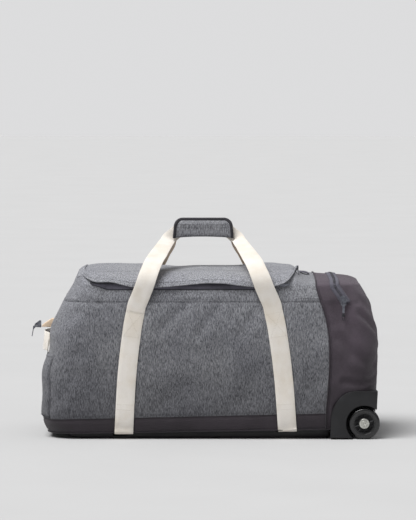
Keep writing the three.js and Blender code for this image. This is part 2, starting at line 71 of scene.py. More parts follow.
HANDLE_X = -17  # middle of the carry handles
WEBBING = 44
PIVOT_Z = 304
THICK = 2.4


# ---- Outlines of the stuffed bag: half depth, edges and seams by height, the rest by x ----
def through(stations):
    """A smooth curve through (position, value) stations, as a function that stays level past its ends."""
    places = np.array([s[0] for s in stations], float)
    values = np.array([s[1] for s in stations], float)
    slopes = np.gradient(values, places)

    def curve(at):
        at = np.clip(at, places[0], places[-1])
        i = np.clip(np.searchsorted(places, at) - 1, 0, len(places) - 2)
        span = places[i + 1] - places[i]
        t = (at - places[i]) / span
        rise = (1 + 2 * t) * (1 - t) ** 2 * values[i] + t * t * (3 - 2 * t) * values[i + 1]
        return rise + t * (1 - t) * span * ((1 - t) * slopes[i] - t * slopes[i + 1])

    return curve


left_edge = through([
    (12, -388), (26, -398), (40, -401), (110, -401), (170, -399),
    (205, -389), (262, -382), (323, -354), (364, -330),
])
right_edge = through([
    (20, 386), (60, 391), (115, 393), (200, 394), (262, 391), (312, 377), (342, 365), (366, 352),
])
half_depth = through([(12, 168), (26, 176), (40, 179), (110, 181), (300, 181), (330, 179), (364, 173)])
boundary = through([
    (23, 271), (60, 271), (120, 276), (186, 279), (255, 276), (310, 264), (330, 256), (364, 247),
])
top_rise = through([
    (-330, 0), (-326, 14), (-317, 27), (-303, 37), (-285, 40), (-190, 39), (-80, 35), (60, 37), (170, 39),
    (198, 34), (212, 20), (246, 15), (300, 13), (330, 10), (343, 6), (349, 3), (352.5, 0),
])
flap_edge = through([
    (-315, 398), (-300, 385), (-284, 377), (-235, 374), (-190, 363), (-138, 362), (20, 371), (100, 363),
    (150, 365), (178, 377), (196, 394), (205, 401),
])
leg_spread = through([(14, 194), (170, 183), (248, 173), (304, 163), (362, 142)])
STRAP_LEAN = 3  # how far both straps drift to the right on their way down


def along_base(x):
    """Share of the way from the left end to the wheel end's seam."""
    return (np.clip(x, -400, 271) + 400) / 671


def base_z(x):
    """The bag's lower edge, which rises toward the wheels."""
    return 12 + 11 * along_base(x)


def strip_top(x):
    """The seam between the base strip and the side panel."""
    return 46 + 16 * along_base(x)


def strap_x(side, z):
    """Middle of the left (-1) or right (1) strap at this height."""
    return HANDLE_X + side * leg_spread(z) + STRAP_LEAN * (1 - np.clip(z, 0, PIVOT_Z) / PIVOT_Z)


def metres(points):
    out = np.array(points, float).reshape(-1, 3)
    out[:, 0] += SHIFT
    return out * MM


# ---- Mesh helpers ----
def make_mesh(name, points, faces, material):
    mesh = bpy.data.meshes.new(name)
    mesh.from_pydata(metres(points).tolist(), [], faces)
    mesh.materials.append(material)
    mesh.polygons.foreach_set("use_smooth", [True] * len(mesh.polygons))
    mesh.update()
    obj = bpy.data.objects.new(name, mesh)
    bpy.context.scene.collection.objects.link(obj)
    return obj


def attach(obj, body, slot, *nodes):
    """The piece rides on a body and stands for these CAD nodes, which it hides. The slot is not used."""
    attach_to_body(obj, body)
    if nodes:
        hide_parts(*nodes)
    return obj


def apply_modifiers(obj):
    evaluated = obj.evaluated_get(bpy.context.evaluated_depsgraph_get())
    mesh = bpy.data.meshes.new_from_object(evaluated)
    obj.modifiers.clear()
    obj.data = mesh
    return obj


def bevel(obj, width, segments=2):
    """Rounds a piece's hard edges, in millimetres."""
    modifier = obj.modifiers.new("bevel", "BEVEL")
    modifier.width = width * MM
    modifier.segments = segments
    modifier.limit_method = "ANGLE"
    modifier.angle_limit = math.radians(35)
    return apply_modifiers(obj)


def solidify(obj, thickness, lining=None):
    """Gives an open skin its thickness on the inner side, lined with another material."""
    if lining:
        obj.data.materials.append(lining)
    modifier = obj.modifiers.new("thickness", "SOLIDIFY")
    modifier.thickness = thickness * MM
    modifier.offset = -1
    modifier.material_offset = 1 if lining else 0
    return apply_modifiers(obj)


def crisp(obj, degrees=40):
    """Shades edges sharper than this angle as edges."""
    obj.data.set_sharp_from_angle(angle=math.radians(degrees))
    return obj


def subdivide(obj):
    modifier = obj.modifiers.new("smooth", "SUBSURF")
    modifier.levels = modifier.render_levels = 1
    return apply_modifiers(obj)


def ring_faces(rings, count):
    """Quads between rings of the same number of points."""
    return [
        (r * count + k, r * count + after, (r + 1) * count + after, (r + 1) * count + k)
        for r in range(rings - 1)
        for k, after in enumerate([*range(1, count), 0])
    ]


def capped_faces(rings, count):
    """The quads of a closed bar and a face over each end."""
    last = (rings - 1) * count
    ends = [tuple(reversed(range(count))), tuple(range(last, last + count))]
    return ring_faces(rings, count) + ends


def flipped(faces):
    return [face[::-1] for face in faces]


def grid_faces(columns, rows):
    return [
        (r * columns + c, r * columns + c + 1, (r + 1) * columns + c + 1, (r + 1) * columns + c)
        for r in range(rows - 1)
        for c in range(columns - 1)
    ]


def smooth_path(points, steps):
    """Evenly spaced points on a smooth curve through the given ones."""
    points = np.array(points, float)
    along = np.concatenate([[0], np.cumsum(np.linalg.norm(np.diff(points, axis=0), axis=1))])
    at = np.linspace(0, along[-1], steps)
    curves = [through(list(zip(along, points[:, axis]))) for axis in range(points.shape[1])]
    return np.stack([curve(at) for curve in curves], axis=1)


def path_length(path):
    return np.linalg.norm(np.diff(path, axis=0), axis=1).sum()


def directions(path):
    step = np.gradient(path, axis=0)
    return step / np.linalg.norm(step, axis=1)[:, None]


def tube(path, radius, sides=8, flat=1.0, up=(0, 0, 1)):
    """A round or flattened cord along a path: its points and faces."""
    path = np.array(path, float)
    forward = directions(path)
    side = np.cross(forward, np.array(up, float))
    side /= np.maximum(np.linalg.norm(side, axis=1), 1e-6)[:, None]
    rise = np.cross(side, forward)
    turns = [2 * math.pi * k / sides for k in range(sides)]
    points = [
        p + radius * (math.cos(a) * s + flat * math.sin(a) * u)
        for p, s, u in zip(path, side, rise)
        for a in turns
    ]
    return points, flipped(capped_faces(len(path), sides))


def merge(parts):
    """Several (points, faces) as one."""
    points, faces = [], []
    for more_points, more_faces in parts:
        start = len(points)
        points.extend(more_points)
        faces.extend(tuple(start + i for i in face) for face in more_faces)
    return points, faces


def turned(profile, centre, steps=64):
    """A piece turned about a line along Y, from [radius, y] stations."""
    points = []
    for k in range(steps):
        a = 2 * math.pi * k / steps
        for radius, y in profile:
            points.append((centre[0] + radius * math.cos(a), y, centre[1] + radius * math.sin(a)))
    count = len(profile)
    faces = []
    for k in range(steps):
        after = (k + 1) % steps
        for i in range(count - 1):
            faces.append((k * count + i, k * count + i + 1, after * count + i + 1, after * count + i))
    return points, faces


def slab(outline, y0, y1):
    """A flat piece in the XZ plane, as thick as from y0 to y1."""
    count = len(outline)
    points = [(x, y, z) for y in (y0, y1) for x, z in outline]
    faces = [tuple(range(count)), tuple(reversed(range(count, 2 * count)))]
    for k in range(count):
        after = (k + 1) % count
        faces.append((k, k + count, after + count, after))
    return points, faces


def mirror_y(points):
    return [(p[0], -p[1], p[2]) for p in points]


def add_piece(name, parts, material, slot="binding", body="bag", *nodes):
    """A piece made of several (points, faces) parts, on its body."""
    return attach(make_mesh(name, *merge(parts), material), body, slot, *nodes)


# ---- Materials ----
def linear(red, green, blue):
    """A screen colour from 0 to 255 as linear light."""
    def channel(c):
        c /= 255
        return c / 12.92 if c <= 0.04045 else ((c + 0.055) / 1.055) ** 2.4

    return (channel(red), channel(green), channel(blue), 1.0)


def set_stops(node, stops):
    """Gives a colour ramp its (position, colour) stops."""
    elements = node.color_ramp.elements
    while len(elements) < len(stops):
        elements.new(0.5)
    for element, (position, colour) in zip(elements, stops):
        element.position = position
        element.color = colour


class Finish:
    """A procedural material under construction."""

    def __init__(self, name, roughness=0.8, metallic=0.0, specular=0.5, sheen=0.0, coat=0.0):
        self.material = bpy.data.materials.new(name)
        self.material.use_nodes = True
        self.nodes = self.material.node_tree.nodes
        self.links = self.material.node_tree.links
        self.shader = self.nodes["Principled BSDF"]
        self.set("Roughness", roughness)
        self.set("Metallic", metallic)
        self.set("Specular IOR Level", specular)
        self.set("Sheen Weight", sheen)
        self.set("Coat Weight", coat)
        self.place = self.nodes.new("ShaderNodeTexCoord").outputs["Object"]

    def set(self, socket, value):
        self.shader.inputs[socket].default_value = value

    def feed(self, socket, value):
        if isinstance(value, (int, float, tuple)):
            socket.default_value = value
        else:
            self.links.new(value, socket)

    def noise(self, scale, detail=2.0, stretch=(1, 1, 1)):
        mapping = self.nodes.new("ShaderNodeMapping")
        self.links.new(self.place, mapping.inputs["Vector"])
        mapping.inputs["Scale"].default_value = stretch
        texture = self.nodes.new("ShaderNodeTexNoise")
        self.links.new(mapping.outputs[0], texture.inputs["Vector"])
        texture.inputs["Scale"].default_value = scale
        texture.inputs["Detail"].default_value = detail
        return texture.outputs["Fac"]

    def ramp(self, factor, *stops):
        node = self.nodes.new("ShaderNodeValToRGB")
        self.links.new(factor, node.inputs[0])
        set_stops(node, stops)
        return node.outputs[0]

    def maths(self, operation, a, b=0.0):
        node = self.nodes.new("ShaderNodeMath")
        node.operation = operation
        self.feed(node.inputs[0], a)
        self.feed(node.inputs[1], b)
        return node.outputs[0]

    def mix(self, factor, a, b, kind="MIX"):
        node = self.nodes.new("ShaderNodeMix")
        node.data_type = "RGBA"
        node.blend_type = kind
        self.feed(node.inputs["Factor"], factor)
        self.feed(node.inputs[6], a)
        self.feed(node.inputs[7], b)
        return node.outputs[2]

    def weave(self, pitch, *ratios):
        """Raised threads of a plain weave with this pitch in millimetres, by its share along each axis."""
        split = self.nodes.new("ShaderNodeSeparateXYZ")
        self.links.new(self.place, split.inputs[0])
        rate = 2 * math.pi / (pitch * MM)
        waves = [
            self.maths("SINE", self.maths("MULTIPLY", split.outputs[axis], rate * ratio))
            for axis, ratio in enumerate(ratios)
        ]
        return self.maths("ADD", self.maths("ADD", waves[0], waves[1]), waves[2])

    def painted_ground_shade(self):
        """Painted shade: a tint that darkens the cloth toward the ground, where less light reaches it."""
        split = self.nodes.new("ShaderNodeSeparateXYZ")
        self.links.new(self.place, split.inputs[0])
        return self.ramp(split.outputs["Z"], (0.05, linear(176, 175, 176)), (0.35, linear(255, 255, 255)))

    def colour(self, value):
        self.feed(self.shader.inputs["Base Color"], value)

    def bump(self, height, distance, strength=1.0):
        node = self.nodes.new("ShaderNodeBump")
        node.inputs["Distance"].default_value = distance * MM
        node.inputs["Strength"].default_value = strength
        self.links.new(height, node.inputs["Height"])
        previous = self.shader.inputs["Normal"].links
        if previous:
            self.links.new(previous[0].from_socket, node.inputs["Normal"])
        self.links.new(node.outputs[0], self.shader.inputs["Normal"])

    def roughness(self, factor, low, high):
        shade = self.ramp(factor, (0.3, (low, low, low, 1)), (0.7, (high, high, high, 1)))
        self.links.new(shade, self.shader.inputs["Roughness"])


def heather_finish(name, run, lightness=1.0):
    """Melange cloth: pale and dark yarns in short streaks; run is how they stretch along X, Y and Z."""
    def tone(*colour):
        return linear(*[min(c * lightness, 255) for c in colour])

    cloth = Finish(name, roughness=0.95, specular=0.15, sheen=0.15)
    fine = cloth.noise(1350, 2, run)
    broad = cloth.noise(680, 3, run)
    yarn_tones = (0.36, tone(70, 71, 76)), (0.5, tone(116, 117, 121)), (0.64, tone(172, 173, 177))
    yarn = cloth.ramp(fine, *yarn_tones)
    wide = cloth.ramp(broad, (0.36, tone(58, 59, 64)), (0.64, tone(172, 173, 177)))
    patchy = cloth.ramp(cloth.noise(9, 3), (0.35, linear(236, 236, 239)), (0.65, linear(255, 255, 255)))
    body = cloth.mix(1.0, cloth.mix(0.55, yarn, wide), patchy, "MULTIPLY")
    # The cloth's colour is multiplied by painted shade that darkens it toward the ground.
    cloth.colour(cloth.mix(1.0, body, cloth.painted_ground_shade(), "MULTIPLY"))
    cloth.bump(cloth.weave(0.9, 1.0, 1.0, 0.8), 0.12, 0.7)
    cloth.bump(fine, 0.25, 0.5)
    cloth.bump(cloth.noise(45, 3), 1.2, 0.35)
    return cloth.material


def nylon_finish(name, dark, light, roughness=0.62):
    """Tight plain-woven nylon with a faint ripstop grid and soft creasing."""
    cloth = Finish(name, roughness=roughness, specular=0.3, sheen=0.1)
    patchy = cloth.noise(14, 4)
    threads = cloth.noise(1400, 1, (1.0, 1.0, 0.35))
    body = cloth.ramp(patchy, (0.3, linear(*dark)), (0.7, linear(*light)))
    fleck = cloth.ramp(threads, (0.35, linear(205, 205, 208)), (0.65, linear(255, 255, 255)))
    # The cloth's colour is multiplied by painted shade that darkens it toward the ground.
    cloth.colour(cloth.mix(1.0, cloth.mix(1.0, body, fleck, "MULTIPLY"), cloth.painted_ground_shade(), "MULTIPLY"))
    cloth.roughness(patchy, roughness - 0.06, roughness + 0.1)
    cloth.bump(cloth.weave(0.7, 1.0, 1.0, 1.0), 0.08, 0.8)
    cloth.bump(cloth.noise(30, 4), 1.6, 0.35)
    return cloth.material


def webbing_finish(name, dark, light):
    """Cotton webbing: heavy ribs across it, with painted shade in the grooves between them, so it is paler
    on the raised threads.
    """
    cloth = Finish(name, roughness=0.9, specular=0.2, sheen=0.2)
    ribs = cloth.weave(1.7, 1.0, 0.0, 1.25)
    soil = cloth.noise(24, 4)
    raised = cloth.maths("MULTIPLY_ADD", ribs, 0.17)
    # Painted shade: the grooves between the ribs are coloured darker than the raised threads.
    threads = cloth.ramp(raised, (0.0, linear(*dark)), (0.45, linear(*light)))
    grubby = cloth.ramp(soil, (0.3, linear(244, 240, 233)), (0.62, linear(255, 255, 255)))
    cloth.colour(cloth.mix(1.0, threads, grubby, "MULTIPLY"))
    cloth.bump(ribs, 0.22, 0.8)
    cloth.bump(cloth.noise(900, 2), 0.12, 0.5)
    return cloth.material


def plastic_finish(name, dark, light, roughness=0.45, grain=0.1):
    """Moulded plastic with a fine spark-eroded grain and rubbed patches."""
    shell = Finish(name, roughness=roughness, specular=0.45)
    worn = shell.noise(22, 5)
    shell.colour(shell.ramp(worn, (0.3, linear(*dark)), (0.75, linear(*light))))
    shell.roughness(worn, roughness - 0.07, roughness + 0.1)
    shell.bump(shell.noise(1500, 2), grain, 0.6)
    return shell.material


def rubber_finish():
    """Polished polyurethane tread, scuffed here and there."""
    tread = Finish("tyre_polyurethane", roughness=0.2, specular=0.55, coat=0.35)
    tread.set("Coat Roughness", 0.12)
    scuff = tread.noise(60, 6)
    tread.colour(tread.ramp(scuff, (0.35, linear(8, 8, 9)), (0.75, linear(18, 18, 20))))
    tread.roughness(scuff, 0.16, 0.34)
    tread.bump(tread.noise(400, 3), 0.05, 0.5)
    return tread.material


def metal_finish(name, dark, light, roughness):
    """Plated metal with fine turning marks and small stains."""
    plate = Finish(name, roughness=roughness, metallic=1.0)
    stains = plate.noise(160, 4)
    plate.colour(plate.ramp(stains, (0.3, linear(*dark)), (0.7, linear(*light))))
    plate.roughness(stains, roughness - 0.05, roughness + 0.12)
    plate.bump(plate.noise(1800, 1, (1.0, 0.1, 1.0)), 0.03, 0.6)
    return plate.material


def board_finish():
    """Pressed stiffening board, flecked and slightly rough."""
    board = Finish("stiffening_board", roughness=0.75, specular=0.3)
    flecks = board.noise(320, 5)
    board.colour(board.ramp(flecks, (0.35, linear(38, 38, 40)), (0.7, linear(66, 64, 62))))
    board.bump(flecks, 0.4, 0.6)
    return board.material


HEATHER = heather_finish("heather_cloth", (1.0, 1.0, 0.16))
# The lid's cloth is the body's heather made 1.1 times lighter: painted light on the lid and its flaps, which
# face up toward the light. Its streaks run along the top.
LIT_LID_HEATHER = heather_finish("lid_heather_cloth", (1.0, 0.3, 0.4), 1.1)
NYLON = nylon_finish("plum_nylon", (72, 63, 71), (98, 87, 97))
BASE_NYLON = nylon_finish("base_nylon", (69, 61, 68), (92, 83, 91))
LINING = nylon_finish("lining_cloth", (52, 51, 57), (72, 71, 78), 0.75)
WEBBING_CREAM = webbing_finish("cream_webbing", (204, 197, 188), (233, 228, 221))
# A shaded copy of the cream webbing: painted shade for the webbing's underside and inner faces.
SHADED_WEBBING = webbing_finish("shaded_cream_webbing", (200, 176, 150), (230, 208, 184))
TAPE = nylon_finish("zip_tape", (82, 80, 90), (108, 106, 118), 0.7)
BINDING = nylon_finish("dark_binding", (38, 37, 42), (56, 54, 60), 0.7)
PIPING = nylon_finish("plum_piping", (50, 44, 51), (72, 64, 72), 0.6)
THREAD = nylon_finish("dark_thread", (44, 44, 50), (64, 64, 70), 0.7)
THREAD_PALE = webbing_finish("pale_thread", (176, 168, 156), (212, 205, 194))
COIL = plastic_finish("zip_coil", (50, 50, 55), (76, 75, 82), 0.35, 0.02)
PLASTIC = plastic_finish("black_moulding", (15, 15, 17), (29, 29, 32))
HUB = plastic_finish("wheel_core_moulding", (14, 14, 16), (27, 27, 30), 0.4)
TYRE_RUBBER = rubber_finish()
NICKEL = metal_finish("satin_nickel", (178, 178, 172), (214, 214, 208), 0.28)
GUNMETAL = metal_finish("gunmetal", (84, 86, 94), (130, 132, 140), 0.34)
BOARD = board_finish()


# ---- The shell: one continuous stuffed form, later cut into its panels ----
ACROSS = 30  # steps from front to back
HINGE_STEP = ACROSS - 3  # the lid's hinge line runs along this step
HINGE_Y = 160  # and is straight, this far behind the middle
CORNER_STEPS, MAIN_STEPS, POCKET_STEPS = 9, 54, 5


def rounded_shares():
    """Even steps round the top's section: shares of the half width and of the rise."""
    turn = np.linspace(0, math.pi, 2001)
    y = -np.sign(np.cos(turn)) * np.abs(np.cos(turn)) ** 0.77
    z = np.sin(turn) ** 0.77
    length = np.concatenate([[0], np.cumsum(np.hypot(np.diff(y) * 181, np.diff(z) * 40))])
    even = np.linspace(0, length[-1], ACROSS + 1)
    return np.interp(even, length, y), np.interp(even, length, z)


Y_SHARE, Z_SHARE = rounded_shares()
FRONT_COLUMNS = CORNER_STEPS * 2 + MAIN_STEPS + POCKET_STEPS + 1
FIRST_MAIN, FIRST_POCKET = CORNER_STEPS, CORNER_STEPS + MAIN_STEPS
LAST_POCKET = FIRST_POCKET + POCKET_STEPS


def front_place(k, z):
    """x and y of front column k at height z."""
    half = half_depth(z)
    if k < FIRST_MAIN:
        turn = k / CORNER_STEPS * math.pi / 2
        return (left_edge(z) + CORNER * (1 - math.cos(turn)), CORNER - half - CORNER * math.sin(turn))
    if k <= FIRST_POCKET:
        share = (k - FIRST_MAIN) / MAIN_STEPS
        start = left_edge(z) + CORNER
        return (start + (boundary(z) - start) * share, -half)
    if k <= LAST_POCKET:
        share = (k - FIRST_POCKET) / POCKET_STEPS
        return (boundary(z) + (right_edge(z) - CORNER - boundary(z)) * share, -half)
    turn = (k - LAST_POCKET) / CORNER_STEPS * math.pi / 2
    return (right_edge(z) - CORNER * (1 - math.sin(turn)), CORNER - half - CORNER * math.cos(turn))


def row_levels():
    """Heights of the wall's rows, as functions of x, with a row on each seam."""
    rows = [lambda x, s=s: base_z(x) + (strip_top(x) - base_z(x)) * s for s in (0, 0.25, 0.6)]
    rows += [lambda x, s=s: strip_top(x) + (YOKE_Z - strip_top(x)) * s for s in np.linspace(0, 1, 26)]
    rows += [lambda x, s=s: YOKE_Z + (WALL_TOP - YOKE_Z) * s for s in (0.25, 0.5, 0.75, 1)]
    return rows


STRIP_ROW, YOKE_ROW = 3, 28


class Shell:
    """Grid indices, points and faces of the closed form."""

    def __init__(self):
        self.rows = row_levels()
        self.ring = 2 * FRONT_COLUMNS + 2 * (ACROSS - 1)
        self.points = []
        for level in self.rows:
            self.points.extend(self.ring_points(level))
        self.extra = {}
        for where, row in (("floor", 0), ("top", len(self.rows) - 1)):
            for k in range(1, FRONT_COLUMNS - 1):
                for j in range(1, ACROSS):
                    self.extra[where, k, j] = len(self.points)
                    self.points.append(self.cap_point(where, row, k, j))
        self.points = np.array(self.points)
        self.faces, self.tags = [], []
        self.add_wall_faces()
        self.add_cap_faces()

    def wall(self, row, column):
        return row * self.ring + column % self.ring

    def back_column(self, k):
        return FRONT_COLUMNS + ACROSS - 1 + (FRONT_COLUMNS - 1 - k)

    def ring_points(self, level):
        front = []
        for k in range(FRONT_COLUMNS):
            x, _ = front_place(k, level(0))
            z = level(x)
            x, y = front_place(k, z)
            front.append((x, y, z))
        right = [(front[-1][0], -front[-1][1] * s, front[-1][2]) for s in Y_SHARE[1:-1]]
        left = [(front[0][0], front[0][1] * s, front[0][2]) for s in Y_SHARE[1:-1]]
        return front + right + mirror_y(front[::-1]) + left

    def cap_index(self, where, k, j):
        row = 0 if where == "floor" else len(self.rows) - 1
        if j == 0:
            return self.wall(row, k)
        if j == ACROSS:
            return self.wall(row, self.back_column(k))
        if k == FRONT_COLUMNS - 1:
            return self.wall(row, FRONT_COLUMNS - 1 + j)
        if k == 0:
            return self.wall(row, -j)
        return self.extra[where, k, j]

    def cap_point(self, where, row, k, j):
        x, y, z = self.points[self.wall(row, k)]
        if where == "floor":
            return (x, -y * Y_SHARE[j], z)
        hinge = min(HINGE_Y / -y, 0.985)
        share = np.interp(Y_SHARE[j], [-1, 0, Y_SHARE[HINGE_STEP], 1], [-1, 0, hinge, 1])
        return (x, -y * share, z + top_rise(x) * np.interp(share, Y_SHARE, Z_SHARE))

    def wall_tag(self, row, column):
        """The panel of the wall's face right of this column."""
        last = FRONT_COLUMNS - 1
        mirrored = column >= last + ACROSS
        k = 2 * last + ACROSS - 1 - column if mirrored and column < 2 * last + ACROSS else column
        side = "back" if mirrored else "front"
        if column >= 2 * last + ACROSS or k < FIRST_MAIN:
            return f"{side}_base_strip" if row < STRIP_ROW else "left_end_panel"
        if k < FIRST_POCKET:
            if row < STRIP_ROW:
                return f"{side}_base_strip"
            return f"{side}_side_panel" if row < YOKE_ROW else f"{side}_yoke"
        return f"{side}_pocket_wall" if k < LAST_POCKET else "pocket_end"

    def add_wall_faces(self):
        for row in range(len(self.rows) - 1):
            for column in range(self.ring):
                self.faces.append((
                    self.wall(row, column), self.wall(row, column + 1),
                    self.wall(row + 1, column + 1), self.wall(row + 1, column),
                ))
                self.tags.append(self.wall_tag(row, column))

    def top_tag(self, k, j):
        x = self.points[self.cap_index("top", k, 0)][0]
        if x < LID_LEFT - 4:
            return "left_end_panel"
        if x < LID_RIGHT - 5:
            return "lid_panel" if j < HINGE_STEP else "back_yoke"
        if k < FIRST_POCKET:
            return "top_deck"
        return "pocket_top_inner" if k < FIRST_POCKET + 3 else "pocket_top_outer"

    def add_cap_faces(self):
        for k in range(FRONT_COLUMNS - 1):
            for j in range(ACROSS):
                corners = [(k, j), (k + 1, j), (k + 1, j + 1), (k, j + 1)]
                self.faces.append(tuple(self.cap_index("top", *c) for c in corners))
                self.tags.append(self.top_tag(k, j))
                self.faces.append(tuple(self.cap_index("floor", *c) for c in reversed(corners)))
                self.tags.append("floor_panel" if k < FIRST_POCKET else "pocket_floor")


def housing_depth(x, z):
    """How far a place on the face is inside a wheel housing's outline, in millimetres."""
    across = np.clip((340 - x) / 58, 0, None)
    up = np.clip((z - 48) / 66.5, 0, None)
    return np.where(x < 282, -20, (1 - np.hypot(across, up)) * 60)


def tuck_behind_housings(points):
    """Moves the fabric behind the wheel housings, where they cover it."""
    depth = housing_depth(points[:, 0], points[:, 2])
    near = np.abs(points[:, 1]) > 100
    limit = np.where(depth > 10, 142.5, np.where(depth > 0, 176, 400))
    points[:, 1] = np.where(near, np.clip(points[:, 1], -limit, limit), points[:, 1])
    return points


def hold_weights(shell):
    """How firmly each point stays in place while the bag is filled: 1 is fixed."""
    x, y, z = shell.points.T
    hold = np.full(len(x), 0.06)
    seam = np.abs(z - YOKE_Z) < 3
    hold[seam] = 0.5
    hold[np.abs(x - boundary(z)) < 4] = 0.7
    hold[z < strip_top(x) + 2] = 0.85
    hold[z < base_z(x) + 1] = 1.0
    hold[(x > 380) & (z > 110) & (z < 330)] = 0.35
    hold[(housing_depth(x, z) > -12) & (np.abs(y) > 100)] = 1.0
    return hold


def inflate(shell):
    """Fills the bag: the cloth is a little larger than its form and is pushed out from inside."""
    obj = make_mesh("shell_form", shell.points, shell.faces, HEATHER)
    group = obj.vertex_groups.new(name="hold")
    for index, weight in enumerate(hold_weights(shell)):
        group.add([index], float(weight), "REPLACE")
    cloth = obj.modifiers.new("cloth", "CLOTH")
    settings = cloth.settings
    settings.quality = 5
    settings.mass = 0.35
    settings.tension_stiffness = settings.compression_stiffness = 12
    settings.shear_stiffness = 6
    settings.bending_stiffness = 0.6
    settings.use_pressure = True
    settings.uniform_pressure_force = 2.2
    settings.shrink_min = -0.022
    settings.vertex_group_mass = "hold"
    settings.pin_stiffness = 1.0
    settings.effector_weights.gravity = 0
    cloth.point_cache.frame_start = 1
    cloth.point_cache.frame_end = 20
    scene = bpy.context.scene
    for step in range(1, 21):
        scene.frame_set(step)
    apply_modifiers(obj)
    moved = np.array([v.co for v in obj.data.vertices]) / MM
    moved[:, 0] -= SHIFT
    scene.frame_set(1)
    bpy.data.objects.remove(obj)
    change = moved - shell.points
    size = np.linalg.norm(change, axis=1)
    return shell.points + change * np.minimum(1, 6.5 / np.maximum(size, 1e-6))[:, None]


def refined(points, faces):
    """The points of the form after one round of subdivision, with its faces."""
    obj = subdivide(make_mesh("refined_form", points, faces, HEATHER))
    fine = np.array([v.co for v in obj.data.vertices]) / MM
    fine[:, 0] -= SHIFT
    normals = np.array([v.normal for v in obj.data.vertices])
    quads = [tuple(p.vertices) for p in obj.data.polygons]
    bpy.data.objects.remove(obj)
    return fine, normals, quads


# Folds that the stuffing leaves: each is a line on the face, its width and its depth.
CREASES = [
    ([(-300, -168, 368), (-297, -176, 336)], 5, 3.2),
    ([(-277, -174, 366), (-283, -181, 332)], 5, 3.0),
    ([(-254, -176, 366), (-250, -181, 340)], 6, 2.4),
    ([(-330, -166, 352), (-306, -176, 331), (-262, -181, 322)], 7, 2.2),
    ([(-388, -140, 62), (-350, -178, 110), (-322, -181, 158)], 13, 3.0),
    ([(-380, -150, 120), (-345, -180, 170), (-318, -181, 200)], 16, 2.4),
    ([(-372, -140, 262), (-318, -180, 300)], 12, 2.6),
    ([(-60, -181, 320), (-120, -181, 262)], 12, 2.6),
    ([(20, -181, 322), (-30, -181, 250)], 12, 2.6),
    ([(120, -181, 318), (70, -181, 250)], 13, 2.4),
    ([(-130, -181, 70), (-60, -181, 130)], 22, 1.8),
    ([(60, -181, 80), (110, -181, 150)], 22, 1.6),
    ([(215, -181, 90), (262, -181, 150)], 16, 2.2),
    ([(210, -181, 300), (255, -181, 240)], 16, 1.8),
    ([(336, -172, 376), (372, -150, 340), (380, -120, 322)], 6, 5.5),
    ([(352, -172, 300), (384, -140, 262), (390, -110, 236)], 8, 5.0),
    ([(300, -181, 240), (352, -178, 190), (384, -140, 176)], 11, 3.6),
    ([(312, -181, 138), (352, -180, 130), (390, -140, 146)], 7, 3.2),
    ([(296, -181, 320), (322, -181, 262), (330, -181, 200)], 12, 2.2),
]


def line_distance(points, start, end):
    start, end = np.array(start, float), np.array(end, float)
    along = end - start
    share = np.clip((points - start) @ along / (along @ along), 0, 1)
    return np.linalg.norm(points - start - share[:, None] * along, axis=1)


def facing_of(points, faces):
    """The direction that each point's cloth faces."""
    corners = points[np.array(faces)]
    across = np.cross(corners[:, 2] - corners[:, 0], corners[:, 3] - corners[:, 1])
    total = np.zeros_like(points)
    for k in range(4):
        np.add.at(total, np.array(faces)[:, k], across)
    return total / np.linalg.norm(total, axis=1)[:, None]


def sculpt(points, normals):
    """Presses the folds, seams and straps into the filled form."""
    push = np.zeros(len(points))
    for sign in (1, -1):
        for path, width, depth in CREASES:
            line = [(x, y * sign, z) for x, y, z in path]
            away = np.min([line_distance(points, a, b) for a, b in zip(line, line[1:])], axis=0)
            push -= depth * np.exp(-((away / width) ** 2))
            push += 0.45 * depth * np.exp(-(((away - 2 * width) / width) ** 2))
    x, y, z = points.T
    loose = np.clip((z - strip_top(x)) / 40, 0, 1)
    waves = [noise.noise(Vector((p[0] / 95, p[1] / 95, p[2] / 60))) for p in points]
    ripples = [noise.noise(Vector((p[0] / 34, p[1] / 34, p[2] / 42 + 9))) for p in points]
    push += loose * (2.8 * np.array(waves) + 1.0 * np.array(ripples))
    push -= 1.6 * np.exp(-(((z - YOKE_Z) / 3.4) ** 2)) * (x < boundary(z))
    push -= 1.8 * np.exp(-(((z - strip_top(x)) / 3.4) ** 2)) * (x < boundary(z))
    for side in (-1, 1):
        away = np.abs(x - strap_x(side, z)) / (WEBBING / 2 + 4)
        push -= 2.0 * np.clip(1.2 - away, 0, 0.4) / 0.4 * (np.abs(y) > 150) * (z < WALL_TOP)
    push[(housing_depth(x, z) > -6) & (np.abs(y) > 100)] = 0
    push[z < base_z(x) + 3] = 0
    return points + normals * push[:, None]


SHELL = Shell()
SHELL.points = tuck_behind_housings(SHELL.points)
FILLED = inflate(SHELL)
IDEAL, _, _ = refined(SHELL.points, SHELL.faces)
SMOOTH, NORMALS, QUADS = refined(FILLED, SHELL.faces)
SURFACE = sculpt(SMOOTH, NORMALS)
FACING = facing_of(SURFACE, QUADS)
QUAD_TAGS = [tag for tag in SHELL.tags for _ in range(4)]

NEAREST = kdtree.KDTree(len(IDEAL))
for number, point in enumerate(IDEAL):
    NEAREST.insert(point, number)
NEAREST.balance()


def settled(point, reach=26.0):
    """Where a place on or near the ideal form is once the bag is filled and creased."""
    found = NEAREST.find_n(Vector(point), 4)
    weights = np.array([1 / (distance + 0.5) for _, _, distance in found])
    moves = np.array([SURFACE[i] - IDEAL[i] for _, i, _ in found])
    fade = min(max((reach - found[0][2]) / 12, 0), 1)
    return np.array(point, float) + fade * (weights[:, None] * moves).sum(0) / weights.sum()


